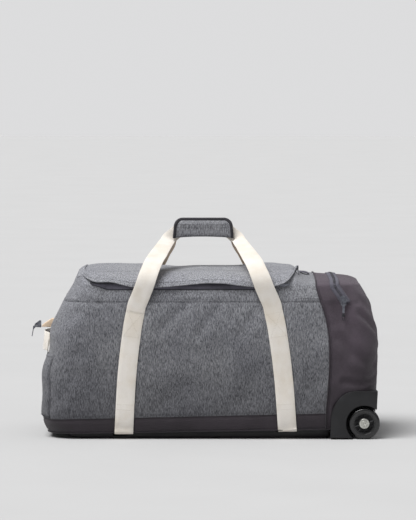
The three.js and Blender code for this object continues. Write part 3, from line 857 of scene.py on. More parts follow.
def skin(x, z, lift=0.0, side=-1):
    """A place on the filled front face (side -1) or back face (side 1), lifted off it."""
    half = half_depth(min(z, WALL_TOP))
    rise = top_rise(x)
    if z > WALL_TOP:
        share = min((z - WALL_TOP) / max(rise, 1), 0.995)
        half = half * (1 - share ** 2.6) ** (1 / 2.6)
    corner = min(max((left_edge(min(z, WALL_TOP)) + CORNER - x) / CORNER, 0), 1)
    half -= CORNER * (1 - math.sqrt(1 - corner ** 2))
    corner = min(max((x - right_edge(min(z, WALL_TOP)) + CORNER) / CORNER, 0), 1)
    half -= CORNER * (1 - math.sqrt(1 - corner ** 2))
    out = settled((x, side * half, z))
    out[1] += side * lift
    return out


# ---- Panels ----
def add_panel(tag, material, body, slot, node, name=None, depth=0.0):
    """Cuts one panel out of the filled form, this far inside it. Panels share their facing at seams."""
    faces = [QUADS[i] for i, t in enumerate(QUAD_TAGS) if t == tag]
    used = sorted({i for face in faces for i in face})
    place = {old: new for new, old in enumerate(used)}
    outer = [tuple(place[i] for i in face) for face in faces]
    inner = [tuple(len(used) + i for i in reversed(face)) for face in outer]
    edges = {(a, b) for face in outer for a, b in zip(face, face[1:] + face[:1])}
    rim = [(b, a, len(used) + a, len(used) + b) for a, b in sorted(edges) if (b, a) not in edges]
    outside = SURFACE[used] - FACING[used] * depth
    points = np.concatenate([outside, outside - FACING[used] * THICK])
    obj = make_mesh(name or f"{tag}_cloth", points, outer + inner + rim, material)
    obj.data.materials.append(LINING)
    lined = [0] * len(outer) + [1] * len(inner) + [0] * len(rim)
    obj.data.polygons.foreach_set("material_index", lined)
    facing = np.concatenate([FACING[used], -FACING[used]])
    corners = [facing[i] for face in outer + inner for i in face] + [(0, 0, 0)] * (4 * len(rim))
    obj.data.normals_split_custom_set([tuple(n) for n in corners])
    if body == "bag":
        return attach(obj, body, slot, node)
    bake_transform(obj)
    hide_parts(node)
    return obj


def add_panels():
    for side in ("front", "back"):
        for part, material, slot in (
            ("base_strip", BASE_NYLON, "nylon"),
            ("side_panel", HEATHER, "heather"),
            ("yoke", HEATHER, "heather"),
            ("pocket_wall", NYLON, "nylon"),
        ):
            add_panel(f"{side}_{part}", material, "bag", slot, f"{side}_{part}")
    for tag, material, slot in (
        ("left_end_panel", HEATHER, "heather"),
        ("top_deck", HEATHER, "heather"),
        ("floor_panel", BASE_NYLON, "nylon"),
        ("pocket_end", NYLON, "nylon"),
        ("pocket_floor", BASE_NYLON, "nylon"),
        ("pocket_top_inner", NYLON, "nylon"),
        ("pocket_top_outer", NYLON, "nylon"),
    ):
        add_panel(tag, material, "bag", slot, tag)
    add_panel("lid_panel", LIT_LID_HEATHER, "lid", "heather", "lid_panel")
    add_panel("lid_panel", LINING, "lid", "lining", "lid_lining", "lid_lining_cloth", THICK + 0.8)


# ---- Seams, piping and stitches ----
def stitches(path, spacing=3.4, length=2.3, radius=0.42):
    """Short raised stitches along a path: points and faces of all of them."""
    path = np.array(path, float)
    places = smooth_path(path, max(int(path_length(path) / spacing), 2))
    forward = directions(places)
    parts = []
    for place, direction in zip(places, forward):
        half = direction * length / 2
        ends = [place - half, place - half * 0.5, place + half * 0.5, place + half]
        points, faces = tube(ends, radius, 5)
        for end in (0, 3):
            for k in range(5):
                points[end * 5 + k] = ends[end] + (points[end * 5 + k] - ends[end]) * 0.3
        parts.append((points, faces))
    return merge(parts)


def face_line(stations, lift, side, steps):
    """A path on the front or back face through (x, z) stations."""
    flat = smooth_path([(x, 0, z) for x, z in stations], steps)
    return np.array([skin(x, z, lift, side) for x, _, z in flat])


def wall_path(row, columns, lift):
    """The filled form's points along one row of its wall."""
    indices = [SHELL.wall(row, c) for c in columns]
    return np.array([SURFACE[i] + NORMALS[i] * lift for i in indices])


def boundary_path():
    """From the floor up the front, over the top and down the back, at the wheel end's seam."""
    rows = range(len(SHELL.rows))
    front = [SHELL.wall(r, FIRST_POCKET) for r in rows]
    top = [SHELL.cap_index("top", FIRST_POCKET, j) for j in range(1, ACROSS)]
    back = [SHELL.wall(r, SHELL.back_column(FIRST_POCKET)) for r in reversed(rows)]
    return np.array([SURFACE[i] + NORMALS[i] * 1.2 for i in front + top + back])


def wheel_end_rows():
    """The rows of stitches beside the wheel end's seams, on both faces."""
    beside = [(boundary(z) + 5, z) for z in np.linspace(34, 362, 24)]
    low = [(x, base_z(x) + 5) for x in (170, 220, 266)]
    rows = [(beside, 0.5, 200, 3.4), (low, 0.6, 60, 3.4)]
    rows += [([(x, z) for x in (262, 290, 318, 345)], 0.5, 80, 3.6) for z in (324, 329)]
    rows += [([(x, z) for x in (212, 232, 254)], 0.5, 40, 3.6) for z in (330.5, 334.5)]
    return [
        stitches(face_line(stations, lift, side, steps), spacing)
        for side in (-1, 1)
        for stations, lift, steps, spacing in rows
    ]


def add_seams():
    count = len(SHELL.rows) + ACROSS
    piping = tube(smooth_path(boundary_path(), count * 5), 1.7, 8, up=(1, 0.05, 0.02))
    add_piece("wheel_end_piping", [piping], PIPING)
    main = [*range(SHELL.back_column(FIRST_POCKET), SHELL.ring), *range(FIRST_POCKET + 1)]
    yoke_line = smooth_path(wall_path(YOKE_ROW, main, 0.1), 520)
    sewing = stitches(yoke_line + (0, 0, 3.2), 3.6, 2.4, 0.4)
    add_piece("yoke_seam", [tube(yoke_line, 0.55, 6), sewing], THREAD)
    strip_line = smooth_path(wall_path(STRIP_ROW, main, 0.3), 520)
    sewing = stitches(strip_line - (0, 0, 3.5), 3.6, 2.4, 0.4)
    add_piece("base_strip_seam", [tube(strip_line, 0.9, 6), sewing], PIPING)
    floor_line = smooth_path(wall_path(0, range(SHELL.ring + 1), 1.0), 700)
    add_piece("floor_piping", [tube(floor_line, 1.8, 8)], PIPING)
    add_piece("wheel_end_topstitching", wheel_end_rows(), THREAD)


# ---- Webbing ----
WRAP_OFFSET = (-3, 0, -3)  # where the wrap has slid to on the handles
BACK_DRAWN_IN = 13  # the back handle's legs stand this much closer together over the lid
BAND_HALF = 1.1  # half the webbing's thickness
INNER_FACES = 5  # the webbing's faces on its inner side come first in its section
SECTION_POINTS = 12


def evened(values):
    """The same rows of values with the jumps between neighbours smoothed out."""
    reach = 9
    padded = np.pad(values, ((reach, reach), (0, 0)), mode="edge")
    return np.mean([padded[i:i + len(values)] for i in range(2 * reach + 1)], axis=0)


class Ribbon:
    """A flat band along [x, y, z, tilt] stations; tilt turns its outer face from -Y (0) up to +Z (90)."""

    def __init__(self, stations, steps, hug=26.0):
        path = smooth_path(stations, steps)
        moves = np.array([settled(p, hug) for p in path[:, :3]]) - path[:, :3]
        self.middle = path[:, :3] + evened(moves)
        tilt = np.radians(path[:, 3])
        face = np.stack([0 * tilt, -np.cos(tilt), np.sin(tilt)], axis=1)
        self.forward = directions(path[:, :3])
        side = np.cross(self.forward, face)
        self.side = side / np.linalg.norm(side, axis=1)[:, None]
        self.out = np.cross(self.side, self.forward)

    def on(self, place, across, lift):
        """A point of the band: place counts steps, across runs from -0.5 to 0.5 of its width."""
        i = int(min(max(place, 0), len(self.middle) - 1))
        return self.middle[i] + self.side[i] * across * WEBBING + self.out[i] * lift

    def step_at(self, z, start=0, end=None):
        """The step nearest this height between two steps."""
        end = len(self.middle) if end is None else end
        return start + int(np.argmin(np.abs(self.middle[start:end, 2] - z)))

    def solid(self, narrowing=None):
        """Points and faces, with rounded selvedges and a slightly crowned outer face."""
        half, skin_in, crown, edge = WEBBING / 2, -BAND_HALF, BAND_HALF + 0.15, BAND_HALF / 2
        narrowing = np.ones(len(self.middle)) if narrowing is None else narrowing
        section = [
            (-half, -edge), (-half + 1, skin_in), (-half / 2, skin_in),
            (half / 2, skin_in), (half - 1, skin_in),
            (half, -edge), (half, edge), (half - 1, BAND_HALF), (half / 2, crown), (-half / 2, crown),
            (-half + 1, BAND_HALF), (-half, edge),
        ]
        points = [
            m + s * a * n + o * b
            for m, s, o, n in zip(self.middle, self.side, self.out, narrowing)
            for a, b in section
        ]
        return points, flipped(capped_faces(len(self.middle), len(section)))


def strap_stations(side):
    """From the front of the strap at the handle's seam, down, under the bag and up the back."""
    def x(z):
        return float(strap_x(side, z))

    low = base_z(x(20))
    half = [(x(z), -half_depth(z) - 2.2, z, 0) for z in (PIVOT_Z, 272, 240, 205, 170, 135, 100, 70, 42)]
    half.append((x(27), -half_depth(27) - 1.4, 27, -25))
    half.append((x(18), -175, low - 0.5, -60))
    half.append((x(16), -167, low - 2.6, -85))
    half += [(x(14), y, low - 2.6, -90) for y in (-150, -120, -60)]
    back = [(px, -py, pz, -180 - tilt) for px, py, pz, tilt in reversed(half)]
    return half + [(x(14), 0, low - 2.6, -90)] + back


def handle_stations(side):
    """The front (-1) or back (1) handle, from one seam over the lid and the wrap to the other."""
    leg = [
        (163, -183.2, 303.4, 0), (160, -184.4, 318, 0), (151, -187.2, 340, 0), (142, -190, 362, 0),
        (134.5, -189, 383, 25), (127, -176, 402, 55), (119.5, -153, 418, 60), (109.5, -113, 433, 60),
        (99, -73, 447, 55), (88, -34, 461, 36), (78, -9.5, 472, 8), (58, -7, 486, 0), (28, -7, 492, 0),
        (0, -7, 492, 0),
    ]
    drawn_in = through([(340, 0), (402, BACK_DRAWN_IN), (447, BACK_DRAWN_IN), (472, 2), (486, 0)])
    leaning = through([(340, 0), (472, WRAP_OFFSET[0])])
    loop = []
    for sense in (-1, 1):
        half = leg if sense < 0 else leg[-2::-1]
        for spread, y, z, tilt in half:
            inward = float(drawn_in(z)) if side > 0 else 0
            loop.append((HANDLE_X + sense * (spread - inward) + float(leaning(z)), y, z, tilt))
    if side < 0:
        return loop
    return [(x, -y, z, 180 - tilt) for x, y, z, tilt in loop]


def box_stitch(ribbon, low, high):
    """A sewn rectangle with a cross in it between two steps of a ribbon."""
    corners = [(low, -0.4), (low, 0.4), (high, 0.4), (high, -0.4)]
    lines = [(0, 1), (1, 2), (2, 3), (3, 0), (0, 2), (1, 3)]
    parts = []
    for a, b in lines:
        (s0, w0), (s1, w1) = corners[a], corners[b]
        path = [ribbon.on(s0 + (s1 - s0) * t, w0 + (w1 - w0) * t, 1.35) for t in np.linspace(0, 1, 24)]
        parts.append(stitches(path, 3.2, 2.4, 0.4))
    return merge(parts)


def add_straps():
    sewing = []
    for name, side in (("left_strap", -1), ("right_strap", 1)):
        ribbon = Ribbon(strap_stations(side), 260)
        band = crisp(make_mesh(f"{name}_webbing", *ribbon.solid(), WEBBING_CREAM))
        attach(band, "bag", "webbing", name)
        middle = len(ribbon.middle) // 2
        sewing.append(box_stitch(ribbon, ribbon.step_at(300, 0, middle), ribbon.step_at(246, 0, middle)))
        sewing.append(box_stitch(ribbon, ribbon.step_at(246, middle), ribbon.step_at(300, middle)))
        for z in (84, 70):
            step = ribbon.step_at(z, 0, middle)
            row = [ribbon.on(step, across, 1.35) for across in np.linspace(-0.42, 0.42, 12)]
            sewing.append(stitches(row, 3.2, 2.4, 0.4))
    add_piece("strap_stitching", sewing, THREAD_PALE, "webbing")


def add_handles():
    for name, side in (("front_handle", -1), ("back_handle", 1)):
        ribbon = Ribbon(handle_stations(side), 260, 14.0)
        into_wrap = np.clip((112 - np.abs(ribbon.middle[:, 0] - HANDLE_X)) / 30, 0, 1)
        band = ribbon.solid(1 - 0.28 * into_wrap)
        obj = crisp(make_mesh(f"{name}_band", *band, WEBBING_CREAM))
        # Painted shade: the inner faces above the lid take the shaded copy of the cream webbing.
        obj.data.materials.append(SHADED_WEBBING)
        for polygon in obj.data.polygons[:-2]:
            inner = polygon.index % SECTION_POINTS < INNER_FACES
            polygon.material_index = 1 if inner and polygon.center.z > (WALL_TOP + 16) * MM else 0
        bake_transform(obj)
        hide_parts(f"{name}_webbing")


# ---- The padded wrap ----
WRAP_CORNER = 18
WRAP_LOW, WRAP_HIGH = 472, 518
WRAP_LEFT, WRAP_RIGHT = HANDLE_X - 69, HANDLE_X + 69
WRAP_FLARE = 0.055  # how much longer the wrap is along its lower edge, as a share
OUTER_STEPS, INNER_STEPS = 20, 14


def on_handle(points):
    """Flares the wrap toward its lower edge and slides it to where it rests on the handles."""
    points = np.array(points, float)
    below = (WRAP_HIGH - points[:, 2]) / (WRAP_HIGH - WRAP_LOW)
    points[:, 0] = HANDLE_X + (points[:, 0] - HANDLE_X) * (1 + WRAP_FLARE * (below - 0.35))
    return points + WRAP_OFFSET


def corner_drop(from_end):
    """How far the wrap's rounded top corner is below its ridge, this far from its end."""
    inward = max(WRAP_CORNER - from_end, 0)
    return WRAP_CORNER - math.sqrt(WRAP_CORNER ** 2 - inward ** 2)


def wrap_section(grow):
    """The wrap's outer face from its lower front edge up to its ridge, as a path in Y and Z."""
    face = [
        (-11.6, 471.5), (-14.6 - grow, 472), (-16.6 - grow, 477), (-17 - grow, 487), (-16.6 - grow, 500),
        (-14.5 - grow, 509), (-9.5, 515.5), (-4.5, 517.5), (-0.3, 518),
    ]
    back = [(-0.3, 516), (-6, 515), (-10.4, 508), (-11, 488), (-11, 472.5)]
    return np.concatenate([smooth_path(face, OUTER_STEPS), smooth_path(back, INNER_STEPS)])


def add_wraps():
    """Each half of the padded wrap: a pad in front of the webbing, closed over its top edge."""
    columns = np.linspace(0, 1, 44)
    for name, side in (("front", -1), ("back", 1)):
        points = []
        for share in columns:
            x = WRAP_LEFT + (WRAP_RIGHT - WRAP_LEFT) * share
            from_end = min(share, 1 - share) * (WRAP_RIGHT - WRAP_LEFT)
            drop = corner_drop(from_end)
            pinch = 1.4 * (1 - min(from_end / 12, 1)) ** 2
            puff = 1.0 - pinch + 0.5 * noise.noise(Vector((x / 20, side, 0)))
            arch = 3.4 * (1 - (2 * share - 1) ** 2)
            for y, z in wrap_section(puff * 0.6):
                lift = arch * max((496 - z) / 24, 0)
                stitched = 0.9 * math.exp(-(((z - 497) / 1.6) ** 2)) if y < -14 else 0
                height = z + lift - drop * min(max((z - 476) / 36, 0), 1)
                points.append((x, -side * (y + stitched), height))
        faces = capped_faces(len(columns), OUTER_STEPS + INNER_STEPS)
        if side < 0:
            faces = flipped(faces)
        pad = make_mesh(f"{name}_wrap_pad", on_handle(points), faces, HEATHER)
        attach(pad, f"{name}_handle", "heather", f"{name}_wrap_half")
        add_wrap_binding(name, side)


def add_wrap_binding(name, side):
    """Dark binding over the wrap's ridge and round both ends, and the stitch lines of the pad."""
    outline = [(WRAP_LEFT + 1.5, z) for z in np.linspace(WRAP_LOW, WRAP_HIGH - WRAP_CORNER, 12)]
    corner_x, corner_z = WRAP_LEFT + WRAP_CORNER, WRAP_HIGH - WRAP_CORNER
    for k in range(1, 12):
        turn = k / 12 * math.pi / 2
        reach = WRAP_CORNER - 1.5
        outline.append((corner_x - reach * math.cos(turn), corner_z + reach * math.sin(turn)))
    outline += [(x, WRAP_HIGH - 1.5) for x in np.linspace(corner_x, HANDLE_X, 14)]
    mirrored = [(2 * HANDLE_X - x, z) for x, z in outline[-2::-1]]
    depth = through([(470, 15.4), (477, 17.0), (497, 17.2), (506, 15.8), (512, 12.6), (517, 9.2)])
    path = smooth_path([(x, side * float(depth(z)), z) for x, z in outline + mirrored], 160)
    cord = tube(path, 3.6, 10, flat=0.5, up=(0, side, 0.35))
    roof = []
    for x in np.linspace(WRAP_LEFT + 1, WRAP_RIGHT - 1, 70):
        roof.append((x, side * 4.6, 517.6 - corner_drop(min(x - WRAP_LEFT, WRAP_RIGHT - x))))
    cover = tube(roof, 4.4, 10, flat=0.25, up=(0, 0.1, 1))
    rows = []
    for y, z, inset, radius in ((17.6, 497, 9, 0.4), (17.5, 504, 13, 0.35)):
        row = [(x, side * y, z) for x in np.linspace(WRAP_LEFT + inset, WRAP_RIGHT - inset, 60)]
        rows.append(stitches(row, 3.2, 2.3, radius))
    for piece, parts, material in (("binding", [cord, cover], BINDING), ("stitching", rows, THREAD)):
        points, faces = merge(parts)
        part = (on_handle(points), faces)
        add_piece(f"{name}_wrap_{piece}", [part], material, "binding", f"{name}_handle")


# ---- Lid flap and zips ----
COIL_Z = 371  # height of the main zip's coil on the front face


def flap_point(u, v, lift=0.0):
    """A place on the front flap: u along the bag, v down from the lid to the flap's edge."""
    x = LID_LEFT - 5 + (LID_RIGHT + 2 - LID_LEFT + 5) * u
    low = float(flap_edge(x))
    crown = WALL_TOP + float(top_rise(x)) - 3.0
    high = min(max(low + 14, 397), crown)
    z = high + (low - high) * v
    tip = max((x - 160) / 47, 0) ** 2
    curl = 5.5 * v ** 2 + 7.0 * tip * v + 2.0 * math.sin(x / 23) * v ** 2
    out = skin(x, z, 0.4 + 3.0 * min(v * 3, 1) + curl + lift)
    out[2] += 3.0 * tip * v
    return out


def add_flap():
    columns, rows = 130, 16
    points = [flap_point(c / (columns - 1), r / (rows - 1)) for r in range(rows) for c in range(columns)]
    obj = make_mesh("front_flap_cloth", points, flipped(grid_faces(columns, rows)), LIT_LID_HEATHER)
    attach(solidify(obj, 2.0), "lid", "heather", "lid_flap")
    hem = [flap_point(u, 0.995, -0.6) for u in np.linspace(0, 1, 200)]
    hem += [flap_point(1.0, v, -0.6) for v in np.linspace(1, 0.1, 20)]
    add_piece("flap_hem", [tube(hem, 1.5, 8)], LIT_LID_HEATHER, "heather", "lid")
    row = [flap_point(u, 0.72, 0.35) for u in np.linspace(0.02, 0.985, 220)]
    add_piece("flap_stitching", [stitches(row, 3.6, 2.5, 0.4)], THREAD, "binding", "lid")


def add_end_flap():
    """The short flap over the left end of the main zip."""
    columns, rows = 44, 7
    points = []
    for r in range(rows):
        v = r / (rows - 1)
        for c in range(columns):
            across = math.sin((c / (columns - 1) - 0.5) * 2.3)
            x = LID_LEFT + 6 - 16 * v
            y = across * (150 - 10 * v)
            z = WALL_TOP + float(top_rise(x)) * (1 - abs(across) ** 2.6) ** (1 / 2.6)
            place = settled((x, y, z))
            points.append(place + np.array([-1.4 * v, 0, 2.0 + 0.3 * math.sin(c * 0.7) * v]))
    obj = make_mesh("end_flap_cloth", points, grid_faces(columns, rows), LIT_LID_HEATHER)
    solidify(obj, 2.0, LINING)
    attach(obj, "lid", "heather", "lid_end_flap")


def coil_loop(place, side, up, forward, reach, crest, radius):
    """One loop of a coil zip: it spans reach to each side, and is lifted by up as far out as crest."""
    reach, crest = side * reach, side * crest
    loop = [place - reach, place - crest + up, place + crest + up, place + reach]
    return tube(loop, radius, 5, up=forward)


def strip_mesh(name, path_points, material):
    """A sheet 1 mm thick through rows of points."""
    rows, columns = len(path_points), len(path_points[0])
    points = [p for row in path_points for p in row]
    return solidify(make_mesh(name, points, grid_faces(columns, rows), material), 1.0)


def add_main_zip():
    """The zip's tape and coil along the front, under the flap."""
    xs = np.linspace(LID_LEFT + 22, 152, 120)
    shares = 0.15 + 0.85 * np.clip((xs - xs[0]) / 40, 0, 1)
    rows = [
        [skin(x, COIL_Z - (COIL_Z - z) * share, lift) for x, share in zip(xs, shares)]
        for z, lift in ((356, 0.3), (357, 1.4), (363, 1.8), (370, 1.4))
    ]
    attach(strip_mesh("main_zip_tape_cloth", rows, TAPE), "bag", "zip_tape", "main_zip_tape")
    seam = [skin(x, COIL_Z - 15.8 * share, 0.7) for x, share in zip(xs, shares)]
    add_piece("main_zip_seam", [tube(seam, 0.9, 6)], THREAD)
    coil = np.array([skin(x, COIL_Z, 1.6) for x in xs])
    places = smooth_path(coil, int(path_length(coil) / 2.4))
    up = np.array((0, -1, 0.2))
    loops = []
    for place, forward in zip(places, directions(places)):
        side = np.cross(forward, up)
        loops.append(coil_loop(place, side / np.linalg.norm(side), up * 0.5, forward, 2.5, 1.25, 0.75))
    add_piece("main_zip_coil", loops, COIL, "plastic")


POCKET_ZIP_TOP, POCKET_ZIP_LOW = 290, 311  # x of the pocket zip at the wall's top and low on the face
POCKET_ZIP_LOW_Z, POCKET_ZIP_END_Z = 333, 322


def pocket_zip_path(side):
    """The middle of the pocket's zip on one face, from the middle of the top down."""
    slope = (POCKET_ZIP_LOW - POCKET_ZIP_TOP) / (POCKET_ZIP_LOW_Z - WALL_TOP)
    rise = float(top_rise(POCKET_ZIP_TOP))
    path = [(POCKET_ZIP_TOP, WALL_TOP + rise * share) for share in (0.998, 0.97, 0.88, 0.7, 0.4, 0.12)]
    for z in np.linspace(WALL_TOP - 6, POCKET_ZIP_END_Z, 5):
        path.append((POCKET_ZIP_TOP + slope * (z - WALL_TOP), z))
    return np.array([skin(x, z, 0, side) for x, z in smooth_path(path, 60)])


def add_pocket_zips():
    front, back = pocket_zip_path(-1), pocket_zip_path(1)
    path = smooth_path(np.concatenate([front[::-1], back]), 150)
    forward = directions(path)
    normal = np.cross(forward, (1, 0, 0))
    normal /= np.linalg.norm(normal, axis=1)[:, None]
    outward = np.where((normal * (path - (300, 0, 300))).sum(1)[:, None] < 0, -normal, normal)
    across = np.cross(forward, outward)
    profile = [(-10.5, 0.5), (-10, 1.7), (-4, 2.1), (0, 2.2), (4, 2.1), (10, 1.7), (10.5, 0.5)]
    rows = [list(path + across * offset + outward * lift) for offset, lift in profile]
    tape = strip_mesh("pocket_zip_tape", rows, TAPE)
    attach(tape, "bag", "zip_tape", "pocket_zip_top", "front_pocket_zip", "back_pocket_zip")
    fine = smooth_path(path, 600)
    loops = []
    for i in np.linspace(0, len(path) - 1, int(path_length(path) / 2.4)).astype(int):
        centre = fine[int(i * (len(fine) - 1) / (len(path) - 1))] + outward[i] * 3.0
        loops.append(coil_loop(centre, across[i], outward[i] * 0.6, forward[i], 3, 1.2, 0.72))
    add_piece("pocket_zip_coil", loops, COIL, "plastic")
    edges = [stitches(path + across * offset + outward * 2.3, 3.4, 2.2, 0.35) for offset in (-8.5, 8.5)]
    add_piece("pocket_zip_stitching", edges, THREAD)


def bounds_of(node):
    """A CAD node's corners in millimetres in the bag's own frame."""
    low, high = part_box(node)
    return np.array(low) / MM - (SHIFT, 0, 0), np.array(high) / MM - (SHIFT, 0, 0)


UNDER_FLAP = (-16, 3, 0)  # how far the main slider is parked from its CAD place, so that the flap hides it


def add_zip_hardware():
    """The sliders and pulls keep their CAD shapes; the pocket's pull also gets its cord loop and knob."""
    for node in ("pocket_slider", "pocket_pull", "end_slider", "end_pull"):
        repaint(node, GUNMETAL)
    slider = soften_cad("main_slider", 0.3, GUNMETAL)
    slider.data.transform(Matrix.Translation(Vector(UNDER_FLAP) * MM))
    attach(slider, "main_zip_car", "gunmetal", "main_slider")
    low, high = bounds_of("pocket_pull")
    x, y, z = (low[0] + high[0]) / 2, (low[1] + high[1]) / 2, low[2]
    loop = [
        (x - 1.2, y, z + 4), (x - 3.2, y - 0.6, z - 2), (x - 2.4, y, z - 9), (x + 0.4, y + 0.3, z - 13),
        (x + 2.8, y, z - 8), (x + 2.6, y - 0.6, z - 1), (x + 1.0, y, z + 4),
    ]
    cord = tube(smooth_path(loop, 60), 0.8, 8, up=(0, 1, 0))
    add_piece("pocket_pull_loop", [cord], BINDING, "binding", "pocket_zip_pull")
    outline = [(x - 3.4, z - 3), (x + 3.4, z - 3), (x + 3.4, z + 6), (x - 3.4, z + 6)]
    knob = slab(outline, y - 2.2, y + 2.2)
    bevel(add_piece("pocket_pull_knob", [knob], BINDING, "plastic", "pocket_zip_pull"), 1.4, 3)


def add_zip_garage():
    """The folded tab over the wheel end of the main zip."""
    low, high = bounds_of("zip_garage")
    points = []
    columns, rows = 14, 12
    for r in range(rows):
        for c in range(columns):
            u, v = c / (columns - 1), r / (rows - 1)
            x = low[0] + (high[0] - low[0]) * u
            y = low[1] + (high[1] - low[1]) * v
            surface = settled((x, y, WALL_TOP + float(top_rise(x)) * 0.995))
            points.append((x, y, surface[2] + 3.4 + 3.6 * math.sin(math.pi * u) + 0.6 * math.sin(v * 7)))
    obj = solidify(make_mesh("zip_garage_tab", points, grid_faces(columns, rows), TAPE), 1.8)
    attach(obj, "bag", "binding", "zip_garage")


# ---- Left end ----
def add_grab_handle():
    """The short handle across the left end, which stands off it in the middle."""
    low, high = bounds_of("grab_handle")
    middle = (low[2] + high[2]) / 2
    bow = [(-80, 0), (-66, 3), (-40, 11), (0, 14), (40, 11), (66, 3), (80, 0)]
    section = [
        (-22, 0.5), (-21, 0), (0, -0.2), (21, 0), (22, 0.5), (22, 1.7), (21, 2.2), (-21, 2.2), (-22, 1.7),
    ]
    path = smooth_path(bow, 60)
    points = [
        (float(left_edge(middle + across)) - 4.2 - out + depth, y, middle + across)
        for y, out in path
        for across, depth in section
    ]
    grab = make_mesh("grab_handle_band", points, capped_faces(len(path), len(section)), WEBBING_CREAM)
    attach(grab, "grab", "webbing", "grab_handle")


def add_left_end():
    for node in ("front_grab_anchor", "back_grab_anchor"):
        cover = cover_end(f"{node}_webbing", *bounds_of(node), 2.2, WEBBING_CREAM)
        attach(cover, "bag", "webbing", node)
    add_grab_handle()
    add_end_tab()
    low, high = bounds_of("left_end_patch")
    low[2] = strip_top(-400) + 3
    patch = cover_end("left_end_patch_cloth", low, high, 2.6, HEATHER)
    attach(patch, "bag", "heather", "left_end_patch")
    hem = []
    for z in (high[2] - 5, low[2] + 5):
        row = [end_point(y, z, 3.6) for y in np.linspace(low[1] + 5, high[1] - 5, 90)]
        hem.append(stitches(row, 3.6, 2.4, 0.4))
    add_piece("left_patch_stitching", hem, THREAD)


def end_point(y, z, lift):
    """A place on the filled left end, lifted off it."""
    half = float(half_depth(z))
    over = max(abs(y) - (half - CORNER), 0)
    turn = math.asin(min(over / CORNER, 1))
    place = settled((float(left_edge(z)) + CORNER * (1 - math.cos(turn)), y, z))
    outward = np.array([-math.cos(turn), math.copysign(math.sin(turn), y), 0])
    return place + outward * lift


def cover_end(name, low, high, lift, material):
    """A patch that lies on the left end between two corners, its rim pressed down."""
    columns, rows = 40, 24
    points = []
    for r in range(rows):
        z = low[2] + (high[2] - low[2]) * r / (rows - 1)
        for c in range(columns):
            y = low[1] + (high[1] - low[1]) * c / (columns - 1)
            inside = min(r, rows - 1 - r, c, columns - 1 - c) > 0
            points.append(end_point(y, z, lift if inside else 0.6))
    return solidify(make_mesh(name, points, flipped(grid_faces(columns, rows)), material), 2.0)


def add_end_tab():
    """The folded webbing tab that ends the zip, with a soft fold."""
    low, high = bounds_of("zip_end_tab")
    outline = [(high[0], low[2]), (high[0], high[2] - 1), (high[0] - 8, high[2]), (low[0] + 8, low[2] + 10),
               (low[0] + 1, low[2] + 5), (low[0], low[2] + 1)]
    # Painted shade: the tab is the cream webbing coloured as it looks in shade.
    tab = bevel(make_mesh("zip_end_fold", *slab(outline, low[1], high[1]), SHADED_WEBBING), 1.2, 3)
    attach(tab, "bag", "webbing", "zip_end_tab")


# ---- Base, housings and wheels ----
def repaint(node, material):
    """A CAD node that stays gets this finish."""
    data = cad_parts[node].data
    data.materials.clear()
    data.materials.append(material)


def soften_cad(node, width, material):
    """A copy of a hard CAD node with rounded edges, in its place."""
    copy = bpy.data.objects.new(f"{node}_moulded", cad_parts[node].data.copy())
    bpy.context.scene.collection.objects.link(copy)
    copy.modifiers.new("weld", "WELD").merge_threshold = 1e-5
    bevel(apply_modifiers(copy), width)
    copy.data.polygons.foreach_set("use_smooth", [True] * len(copy.data.polygons))
    copy.data.materials.clear()
    copy.data.materials.append(material)
    return crisp(copy)


def add_base():
    for side in ("front", "back"):
        for node, width in ((f"{side}_skid_rail", 2.0), (f"{side}_wheel_housing", 1.6)):
            attach(soften_cad(node, width, PLASTIC), "bag", "plastic", node)
        repaint(f"{side}_axle", NICKEL)
    repaint("base_board", BOARD)
    repaint("wheel_end_board", BOARD)
    repaint("pocket_divider", LINING)


def tyre_profile():
    """A tread with rounded shoulders and a shallow groove beside each, and a stepped side wall."""
    outer, inner = WHEEL_OUTER, WHEEL_OUTER + WHEEL_WIDTH
    radius = WHEEL_RADIUS
    profile = [(22.8, outer + 3.4), (23.6, outer + 2.0), (25.4, outer + 1.8), (26.0, outer + 0.6)]
    for k in range(9):
        turn = k / 8 * math.pi / 2
        profile.append((radius - 7 + 7 * math.sin(turn), outer + 7 - 7 * math.cos(turn)))
    profile += [(radius, inner - 7)]
    for k in range(1, 9):
        turn = k / 8 * math.pi / 2
        profile.append((radius - 7 + 7 * math.cos(turn), inner - 7 + 7 * math.sin(turn)))
    profile += [(26.0, inner - 0.6), (23.6, inner - 2), (22.8, inner - 3.4), (22.8, outer + 3.4)]
    return profile


def wheel_spokes(centre, face, back):
    """Ten spokes between a hub ring and a rim ring, with a thin web behind them."""
    parts = []
    for k in range(10):
        turn = 2 * math.pi * (k + 0.5) / 10
        rib = []
        for share in np.linspace(0, 1, 6):
            radius = 13.4 + 9 * share
            place = (centre[0] + radius * math.cos(turn), centre[1] + radius * math.sin(turn))
            rib.append((place[0], face + 1.2 - 0.4 * share, place[1]))
        parts.append(tube(rib, 1.7, 8, flat=2.2, up=(0, 1, 0)))
    hub = [
        (11.3, face + 1), (12.2, face - 0.4), (13.6, face - 0.4), (14.4, face + 1.4), (14.4, back),
        (11.3, back), (11.3, face + 1),
    ]
    rim = [
        (20.8, face + 1.6), (21.4, face - 0.2), (22.6, face - 0.2), (22.7, back), (20.8, back),
        (20.8, face + 1.6),
    ]
    web = [(14, face + 7.5), (21.5, face + 7.5), (21.5, face + 10), (14, face + 10), (14, face + 7.5)]
    return merge(parts + [turned(profile, centre) for profile in (hub, rim, web)])


